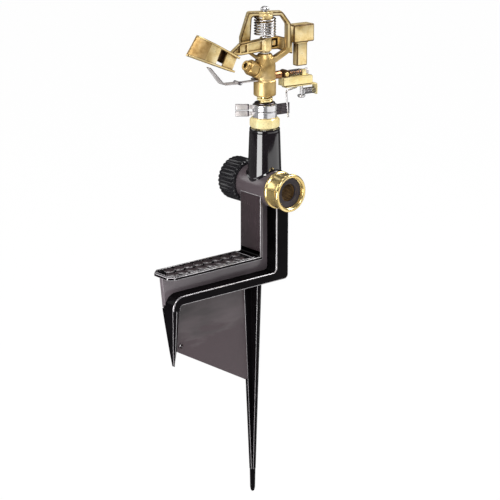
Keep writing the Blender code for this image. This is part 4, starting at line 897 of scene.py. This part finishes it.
def makeCollars():
    collar = {
        "radius": 10.35, "bore": 8.6, "height": 5.4, "earInner": 13.5, "earOuter": 24.8, "thin": 0.6,
        "earTurn": 140, "ribbedTurn": -8, "ribbedTop": 152.9, "ridges": 7}
    radius, bore, height, inner, outer, thin, earTurn, ribbedTurn, ribbedTop, ridges = collar.values()
    for name, node, low, body in (
            ("lowerCollar", "lower_collar", 143.1, "lower_stop"),
            ("upperCollar", "upper_collar", 148.8, "upper_stop")):
        high = low + height
        ring = makeTurned(name, [
            (bore, low), (radius - 0.5, low), (radius - 0.1, low + 0.2), (radius, low + 0.45),
            (radius, low + 0.55), (radius, high - 0.55), (radius, high - 0.45), (radius - 0.1, high - 0.2),
            (radius - 0.5, high), (bore, high)], 96)
        # the fold and the ribbed ear are painted dark steel as shade
        strips = [
            ("neck", radius - 1.0, inner + 1.0, low + 0.9, high - 0.9, 0.45, 0.2, earTurn, "satinSteel"),
            ("ear", inner, outer, low + 0.2, high - 0.2, thin, 0, earTurn),
            ("fold", inner - 0.2, inner + 1.1, low + 0.3, high - 0.3, thin + 0.25, 0.3, earTurn, "darkSteelAndShade")]
        if name == "lowerCollar":
            core, ribbed = radius + 1.0, (ribbedTurn, "darkSteelAndShade")
            strips.append(("earCore", core, outer - 0.3, low + 0.4, ribbedTop - 0.1, 0.3, 0, *ribbed))
            strips.append(("stem", radius - 1.0, core + 1.0, low + 0.9, high - 0.9, 0.5, 0.2, *ribbed))
            pitch = (ribbedTop - low - 0.3) / ridges
            for index in range(ridges):
                z = low + 0.3 + pitch * index
                strips.append(("ridge", core, outer, z, z + pitch * 0.72, 0.6, 0.25, *ribbed))
        parts = [paint(ring, "steel")] + [makeStrip(*strip) for strip in strips]
        settle(joinPieces(name, parts), body, "steel", node)


makeBearing()
makeCollars()
print("bearing and collars made")


# head, modelled with its jet along +X and turned as a whole when it is settled

jet = {"height": 179.9, "rise": 25.0}


def alongJet(piece):
    return place(piece, at=(0, 0, jet["height"]), turn=(0, 90 - jet["rise"], 0))


def lineDistance(spot, outline):
    # from a point to the nearest side of a flat outline
    least = 1e9
    for (ax, ay), (bx, by) in zip(outline, outline[1:] + outline[:1]):
        dx, dy = bx - ax, by - ay
        share = min(max(((spot[0] - ax) * dx + (spot[1] - ay) * dy) / (dx * dx + dy * dy + 1e-12), 0), 1)
        least = min(least, math.hypot(spot[0] - ax - share * dx, spot[1] - ay - share * dy))
    return least


def makeBody():
    body = {
        "archDepth": 4.6, "archTurn": -24, "archLow": 202, "boss": 7.4, "inside": 0.30, "flat": 0.93,
        "edge": 1.1, "voxel": 0.36}
    turned = math.radians(body["archTurn"])
    tube = makeTurned("tube", [
        (0, 170.2), (5.0, 170.2), (5.0, 161.6), (8.8, 161.6), (9.5, 162.3), (9.5, 174.0), (9.2, 174.5),
        (8.7, 174.6), (8.7, 176.0), (9.2, 176.1), (9.35, 176.8), (9.1, 179.0), (9.0, 187.4), (8.4, 190.4),
        (7.6, 193.4), (6.2, 196.4), (5.6, 197.2), (0, 197.2)], 96)
    boss = alongJet(makeTurned("boss", [
        (0, 0), (8.6, 0), (7.6, 5.6), (6.9, 7.8), (6.8, 10.2), (6.3, 10.7), (0, 10.7)], 64))
    outer = roundCorners([
        (8.5, 193.0, 0), (21.3, 203.0, 2), (21.3, 211.0, 4), (14.7, 232.4, 2.5), (-14.1, 232.4, 3),
        (-21.3, 222.3, 4), (-21.3, 198.6, 3), (-8.5, 189.6, 0)])
    inner = roundCorners([
        (7.5, 195.5, 0), (13.6, 200.6, 2), (12.9, 210.0, 4), (11.9, 228.8, 2.5), (-12.3, 228.8, 2),
        (-17.4, 221.3, 2), (-17.4, 200.6, 3), (-7.5, 194.4, 0)])
    arch = makeSlab("arch", outer, -body["archDepth"], body["archDepth"])
    window = makeSlab("window", inner, -8, 8)
    carve(arch, window)
    softenEdges(arch, 0.5, 2, 25)
    place(arch, turn=(0, 0, body["archTurn"]))
    seat = makeTurned("archSeat", [(0, 222.2), (6.4, 222.2), (7.0, 222.8), (7.0, 229.8), (0, 229.8)], 64)
    cap = makeTurned("archCap", [(0, 230.0), (5.6, 230.0), (5.2, 232.35), (0, 232.35)], 48)
    casting = blendCasting(joinPieces("sprinklerBody", [tube, boss, arch, seat, cap]), body["voxel"], 3)
    paint(casting, "castBrass", "paintedShadeBrass", "armBrass")
    # the arch is brighter than the rest, and painted shade darkens its edges
    for polygon in casting.data.polygons:
        x, y, z = polygon.center / mm
        if z < body["archLow"]:
            continue
        polygon.material_index = 2
        facing = abs(polygon.normal.y * math.cos(turned) - polygon.normal.x * math.sin(turned))
        if math.hypot(x, y) < body["boss"] or facing < body["inside"]:
            continue
        spot = (x * math.cos(turned) + y * math.sin(turned), z)
        nearest = min(lineDistance(spot, outer), lineDistance(spot, inner))
        if facing < body["flat"] or nearest < body["edge"]:
            polygon.material_index = 1
    settle(casting, "head", "cast_brass", "sprinkler_body", onHead=True)

    stub = makeTurned("tripBoss", [
        (0, -15.8), (3.1, -15.8), (3.4, -15.4), (3.4, -8.2), (3.9, -7.4), (0, -7.4)], 40)
    place(stub, at=(0, 0, 177.6), turn=(0, 90, 0))
    # the trip boss, part of the brass casting, is painted coppery brown as shade
    settle(paint(stub, "paintedShadeCopper"), "head", "cast_brass", onHead=True)


def makeNozzle():
    nozzle = {"flats": 11.5, "low": 11.0, "high": 19.0, "bore": 2.2}
    flats, low, high, bore = nozzle.values()
    block = makeSlab("nozzleHex", hexagon(flats, 0), low, high, "Z")
    corner = flats / math.sqrt(3) + 0.2
    crown = makeTurned("crown", [
        (0, low - 1), (flats / 2 + 0.2, low), (corner, low + 0.9), (corner, high - 1.5),
        (flats / 2 - 0.3, high), (0, high + 0.01)], 96)
    carve(block, crown, operation="INTERSECT")
    carve(block, makeTurned("bore", rectangle(0, bore, low + 0.3, high + 2), 48))
    softenEdges(block, 0.18, 2, 25)
    tip = makeTurned("nozzleTip", [
        (bore, 17.0), (bore, 21.9), (2.5, 22.3), (4.0, 22.3), (4.35, 21.9), (4.6, 19.2), (4.6, 18.4),
        (3.0, 18.0)], 64)
    piece = joinPieces("nozzle", [block, tip])
    settle(alongJet(paint(piece, "castBrass")), "head", "turned_brass", "nozzle", onHead=True)
    # a black disc down the bore stands for the shade inside the nozzle
    holeShade = makeTurned("nozzleHoleShade", rectangle(0, 2.1, 11.6, 12.0), 32)
    settle(alongJet(paint(holeShade, "rubber")), "head", "turned_brass", onHead=True)


def makeSpoon():
    # the blade begins after the straight share of the spoon's length and curls across it
    spoon = {
        "start": 33.8, "base": 192.3, "rise": 26.3, "length": 42.2, "inner": 6.8, "outer": 9.5, "half": 8.0,
        "plate": 1.6, "wall": 2.1, "cut": 2.6, "straight": 0.47, "sag": 8.4, "curl": 2.1, "steps": 18,
        "dark": 0.45}
    length, half, plate, steps = spoon["length"], spoon["half"], spoon["plate"], spoon["steps"]
    spread = math.degrees(math.atan2(spoon["outer"] - spoon["inner"], length))
    start, reach = length * spoon["straight"], length * (1 - spoon["straight"]) - spoon["cut"] / 2
    inside, outside = [], []
    for step in range(steps + 1):
        along = start + reach * step / steps * 0.985
        across = half - 0.5 - spoon["sag"] * (step / steps) ** spoon["curl"]
        inside.append((along, across - spoon["wall"]))
        outside.append((along, across))
    pieces = []
    for name, side in (("topPlate", 1), ("bottomPlate", -1)):
        curve = [(a + (0.5 - side / 2) * spoon["cut"] * (a - start) / reach, b + 0.5) for a, b in outside[::3]]
        end = curve[-1][0] + 0.5
        plan = [(-0.3, -half * 0.45), (length * 0.52, -half), (end - 4.0, -half), (end, curve[-1][1] - 2.6)]
        plan += [(end, curve[-1][1])] + curve[::-1] + [(-0.3, half)]
        low = spoon["inner"] - plate if side > 0 else -spoon["inner"]
        # painted shade along the plates' edges
        sheet = trimEdges(makeSlab(name, plan, low, low + plate, "Z"), 0.7, "armBrass", "paintedShadeBrass")
        pieces.append(place(sheet, turn=(0, -spread * side, 0)))
    rings = []
    for share in (-1, 1):
        ring = []
        for a, b in inside + outside[::-1]:
            tall = spoon["inner"] + (spoon["outer"] - spoon["inner"]) * a / length - 0.6
            ring.append((a + (0.5 - share / 2) * spoon["cut"] * (a - start) / reach, b, share * tall))
        rings.append(ring)
    blade = makeLoft("blade", rings, angle=40)
    vane = makeSlab("vane", [
        (-0.3, 2.0), (length * 0.29, 4.9), (length * 0.29, 7.0), (-0.3, 4.3)], -7.0, 7.0, "Z", 0.35)
    # a dark wall inside the spoon stands for the shade in its channel
    shade = makeSlab("channelWall", [
        (length * 0.48, 5.8), (length * 0.20, 1.4), (length * 0.20, 0.2),
        (length * 0.48, 4.4)], -3.6, 6.4, "Z", 0.2)
    pieces += [paint(blade, "armBrass", "paintedShadeSpoonBrass"), paint(vane, "armBrass"), paint(shade, "deepShadeBrass")]
    # the blade past the share dark of its curl takes the darker brass as painted shade
    repaint(blade, 1, lambda spot: spot.x > start + reach * spoon["dark"])
    piece = joinPieces("spoon", pieces)
    return place(piece, at=(spoon["start"], 0, spoon["base"]), turn=(0, -spoon["rise"], 0))


def makeArm():
    arm = {"front": 4.7, "back": -0.3, "top": 211.0, "low": 199.9, "drop": 1.2, "fall": 2.6, "run": 27.0,
           "weightLow": 203.7, "weightHigh": 218.7}
    front, back, top, bottom, drop, fall, run, low, high = arm.values()
    hub = makeTurned("hub", sleeve(1.8, 4.3, 198.3, top, 0.4), 64)
    left = makeSlab("leftArm", [
        (0, top), (run, top - fall), (37.3, 201.0), (34.6, 199.2), (run, bottom - drop),
        (0, bottom)], back, front)
    right = makeSlab("rightArm", [
        (0, top), (-14.0, top - 0.6), (-28.8, 206.2), (-28.8, 193.7), (-14.0, 199.3),
        (0, bottom)], -front, 0.3)
    # painted shade along the arms' edges
    for side in (left, right):
        trimEdges(side, 0.85, "armBrass", "paintedShadeBrass")
    panels = []
    for start, end in ((6.2, 19.8), (21.4, 27.2)):
        outline = [(x, top - fall * x / run - 1.7) for x in (start, end)]
        panels.append(outline + [(x, bottom - drop * x / run + 2.0) for x in (end, start)])
    panels.append([(28.4, 206.6), (33.0, 202.2), (31.0, 201.3), (28.4, 201.0)])
    for outline in panels:
        carve(left, makeSlab("panel", outline, front - 1.5, front + 2))
    carve(right, makeSlab("pocket", rectangle(-13.0, -4.6, 201.6, 209.2), -2.6, 3))
    lug = makeSlab("springLug", rectangle(-11.2, -7.4, 202.9, 207.4), -2.8, 0.1, "Y", 0.4)

    weight = makeSlab("weight", [
        (-25.8, low), (-25.8, high - 1.2), (-26.4, high), (-47.4, high), (-47.4, low)], -5.8, 5.8)
    post = makeSlab("post", [(-31.2, -3.4), (-31.2, 3.4), (-42.0, 3.4), (-42.0, -3.4)], 183.2, low + 1, "Z")
    collar = makeSlab("postCollar", roundCorners([
        (-30.4, -4.1, 1.6), (-30.4, 4.1, 1.6), (-42.8, 4.1, 1.6),
        (-42.8, -4.1, 1.6)], 5), low - 1.1, low + 0.6, "Z", 0.45)
    boss = makeSlab("hubWeb", rectangle(-3.4, 3.4, 199.4, 210.7), -0.2, 5.3, "Y", 0.9, 3)
    # a dark sheet at the back of the pocket stands for the shade in it
    pocket = makeSlab("pocketShade", rectangle(-12.9, -4.7, 201.7, 209.1), -2.7, -2.3)
    # painted shade along the weight's and the post's edges
    trimEdges(weight, 1.1, "armBrass", "paintedShadeBrass")
    trimEdges(post, 1.0, "armBrass", "paintedShadeBrass")
    brass = [paint(piece, "armBrass") for piece in (hub, lug, collar, boss)]
    trimmed = [left, right, weight, post, paint(pocket, "deepShadeBrass"), makeSpoon()]
    settle(joinPieces("impactArm", brass + trimmed), "arm", "cast_brass", "impact_arm", onHead=True)


def makeHeadHardware():
    spring = makeCoil("armSpring", {"radius": 8.7, "wire": 1.2, "low": 211.3, "high": 228.5, "turns": 7})
    place(spring, turn=(0, 0, 40))
    settle(paint(spring, "springSteel"), "head", "spring_steel", "arm_spring", onHead=True)
    screw = {"radius": 3.6, "shank": 1.5, "seat": 232.7, "high": 236.8}
    radius, shank, seat, high = screw.values()
    head = makeTurned("topScrew", [
        (0, 226.5), (shank, 226.5), (shank, seat), (radius - 0.2, seat), (radius, seat + 0.2),
        (radius, seat + 1.6), (radius - 0.15, seat + 2.2), (radius * 0.86, seat + 3.0),
        (radius * 0.62, seat + 3.7), (radius * 0.3, high - 0.05), (0, high)], 64)
    slot = makeSlab("slot", rectangle(-5, 5, high - 1.5, high + 1), -0.45, 0.45)
    carve(head, place(slot, turn=(0, 0, 35)))
    softenEdges(head, 0.12, 2, 35)
    settle(paint(head, "steel"), "head", "steel", "top_screw", onHead=True)
    washer = makeTurned("armWasher", sleeve(1.8, 4.3, 197.5, 198.0, 0.2, 0.15), 48)
    settle(paint(washer, "nylon"), "head", "nylon", "arm_washer", onHead=True)


def makeDeflector():
    flap = {
        "hinge": 27.6, "height": 175.3, "run": 16.5, "riseRun": 12.2, "rise": 16.0, "half": 5.0,
        "flatHalf": 4.6, "thin": 0.7}
    hinge, height, run, riseRun, rise, half, flatHalf, thin = flap.values()
    # the sheet runs almost level from its hinge, bends, and climbs to its tip
    stations = [(2.2 + (run - 4.4) * step / 5, 0.5 * step / 5) for step in range(6)]
    stations += [(run - 2.2 + 3.2 * step / 5, 0.5 + 2.6 * (step / 5) ** 2) for step in range(1, 5)]
    stations += [(run + 1.2 + (riseRun - 1.2) * step / 7, 3.1 + (rise - 3.1) * step / 7) for step in range(8)]
    last = len(stations) - 1
    rings = []
    for index, (x, lift) in enumerate(stations):
        before, after = stations[max(index - 1, 0)], stations[min(index + 1, last)]
        slope = math.atan2(after[1] - before[1], after[0] - before[0])
        wide = flatHalf if x < run - 4 else half - (half * 0.4) * max(0, (lift - 1.0) / rise)
        ring = []
        for y, side in ((-wide, -0.5), (wide, -0.5), (wide, 0.5), (-wide, 0.5)):
            off = side * thin - 0.5 * (y / half) ** 2 * index / last
            ring.append((hinge + x - math.sin(slope) * off, y, height + lift + math.cos(slope) * off))
        rings.append(ring)
    # the flap's dark edges are painted shade
    parts = [trimEdges(makeLoft("deflectorFlap", rings, angle=40), 0.2, "satinSteel", "darkSteelAndShade")]
    for side in (-1, 1):
        ear = makeTurned("hingeEar", sleeve(1.05, 1.5, 2.8, 4.6, 0.1), 32)
        place(ear, turn=(90 * side, 0, 0))
        low, high = sorted((2.9 * side, 4.5 * side))
        tie = makeSlab("hingeTie", rectangle(1.0, 2.8, -0.35, 0.35), low, high, "Y", 0.1)
        parts += [paint(place(piece, at=(hinge, 0, height)), "darkSteelAndShade") for piece in (ear, tie)]
    settle(joinPieces("deflectorFlap", parts), "flap", "steel", "deflector_flap", onHead=True)


def makeTrip():
    trip = {
        "rod": 177.6, "top": 175.2, "low": 167.2, "inner": -20.6, "outer": -39.4, "half": 4.0, "screw": -38.4,
        "tab": -53.4, "side": 7.5, "wire": 1.38, "wireLow": 141.6}
    rod, top, low, inner, outer, half, screwAt, tab, side, thick, wireLow = trip.values()
    bar = makeSlab("tripBar", roundCorners([
        (-16.8, low + 0.5, 0.4), (-16.8, top - 0.2, 0.4), (-30.0, top, 20.0), (-47.4, top - 0.6, 1.6),
        (-47.4, low, 1.6)], 6), -half, half)
    # painted shade along the bar's edges
    trimEdges(bar, 0.3, "paleBrass", "paintedShadeBrass")
    knuckle = makeTurned("knuckle", sleeve(0, 1.9, -half, half, 0.2), 64)
    # a dark band round the knuckle is painted shade
    band = makeTurned("knuckleBand", mirrored([
        (1.7, -half + 0.4), (3.2, -half + 0.1), (3.5, -half + 0.3), (3.6, -half + 0.7)]), 64)
    for piece in (knuckle, band):
        place(piece, at=(inner, 0, rod), turn=(90, 0, 0))
    stem = makeSlab(
        "knuckleStem", rectangle(inner - 2.6, inner + 2.6, top - 1.0, rod), -half + 0.3, half - 0.3, "Y", 0.3)
    ear = makeSlab("tripEar", roundCorners([
        (outer - 1.8, top - 2.0, 0), (outer - 1.8, rod + 2.0, 1.2), (outer + 1.8, rod + 2.0, 1.2),
        (outer + 1.8, top - 2.0, 0)], 4), -half * 0.7, half * 0.7, "Y", 0.3)
    # the knuckle's stem is painted coppery brown as shade
    lever = joinPieces("tripLever", [
        bar, paint(stem, "paintedShadeCopper"), paint(ear, "paleBrass"), paint(knuckle, "turnedBrass"),
        paint(band, "deepShadeBrass")])
    settle(lever, "trip", "turned_brass", "trip_lever", onHead=True)

    for name, node, turns, wire, start, end, height in (
            ("tripSpring", "trip_spring", 6, 0.8, outer + 2.1, inner - 3.9, rod),
            ("snapSpring", "snap_spring", 7, 0.7, tab + 1.5, screwAt - 1.5, 160.4)):
        coil = makeCoil(name, {"radius": 2.5, "wire": wire, "low": start, "high": end, "turns": turns})
        place(coil, at=(0, 0, height), turn=(0, 90, 0))
        settle(paint(coil, "darkSteelAndShade"), "trip", "spring_steel", node, onHead=True)

    plateTop, plateLow = low - 0.3, low - 1.5
    plate = makeSlab("tripPlate", roundCorners([
        (-20.0, plateTop, 0), (-20.0, plateLow, 0), (tab + 1.2, plateLow, 0.8), (tab + 1.2, plateTop - 10.0, 0),
        (tab, plateTop - 10.0, 0), (tab, plateTop, 2.0)], 5), -half * 0.8, half * 0.8)
    # painted shade along the plate's edges
    trimEdges(plate, 0.25, "paleBrass", "paintedShadeBrass")
    settle(plate, "trip", "cast_brass", "trip_plate", onHead=True)

    headLow = plateLow - 10.8
    screw = makeTurned("tripScrew", [
        (0, headLow), (1.6, headLow + 0.1), (2.6, headLow + 0.5), (3.2, headLow + 1.1), (3.4, headLow + 1.7),
        (3.4, headLow + 2.4), (3.1, headLow + 2.6), (1.2, headLow + 2.6), (1.2, low + 4.2), (0, low + 4.2)], 48)
    for turn in (0, 90):
        drive = makeSlab("drive", rectangle(-2.0, 2.0, -0.35, 0.35), headLow - 1, headLow + 0.9, "Z")
        carve(screw, place(drive, turn=(0, 0, turn)))
    smoothByAngle(screw)
    threads = makeCoil("screwThread", {
        "radius": 1.25, "wire": 0.35, "low": headLow + 2.8, "high": plateLow - 0.2, "turns": 8})
    screw = joinPieces("tripScrew", [screw, threads])
    place(screw, at=(screwAt, 0, 0))
    settle(paint(screw, "steel"), "trip", "steel", "trip_screw", onHead=True)

    # the wire leaves the plate, bends round and hangs down between the collars' ears
    under = plateLow - 1.0
    start, bend, end = Vector((-33.0, 0.4, under)), Vector((-16.8, side, under)), Vector((-19.2, side, wireLow))
    before, beyond = bend + (start - bend).normalized() * 2.6, bend + (end - bend).normalized() * 2.6
    path = [start.lerp(before, share) for share in (0, 0.35, 0.7)]
    for step in range(9):
        share = step / 8
        path.append(before * (1 - share) ** 2 + bend * (2 * share * (1 - share)) + beyond * share ** 2)
    path += [beyond.lerp(end, share) for share in (0.3, 0.6, 0.97, 1)]
    wire = makeWire("tripWire", path, thick)
    settle(paint(wire, "springSteel"), "trip", "spring_steel", "trip_wire", onHead=True)

    end = outer - 4.8
    nut = place(makeSlab("rodNut", hexagon(5.0), end, end + 2.6, "Z", 0.2), at=(0, 0, rod), turn=(0, 90, 0))
    settle(paint(nut, "satinSteel"), "head", "steel", "rod_nut", onHead=True)
    pin = makeTurned("tripRod", [
        (0, end - 0.3), (0.9, end - 0.2), (1.4, end), (1.5, end + 0.3), (1.5, -10.8), (0, -10.8)], 32)
    place(pin, at=(0, 0, rod), turn=(0, 90, 0))
    # the steel rod is painted coppery brown as shade
    settle(paint(pin, "paintedShadeCopper"), "head", "steel", "trip_rod", onHead=True)


makeBody()
makeNozzle()
makeArm()
makeHeadHardware()
makeDeflector()
makeTrip()
print("head made")


# the CAD nodes that stay visible
cadFinishes = {
    "inlet_nipple": "turnedBrass", "bearing_sleeve": "turnedBrass", "cap_washer": "rubber",
    "seal_washer": "rubber", "fulcrum_pin": "steel", "deflector_pin": "steel", "deflector_strap": "satinSteel",
    "arm_bush": "nylon"}


def dressCadNodes():
    for node, finish in cadFinishes.items():
        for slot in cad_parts[node].material_slots:
            slot.material = looks[finish]


setUpCamera()
setUpStudio()
dressCadNodes()
print("studio ready")
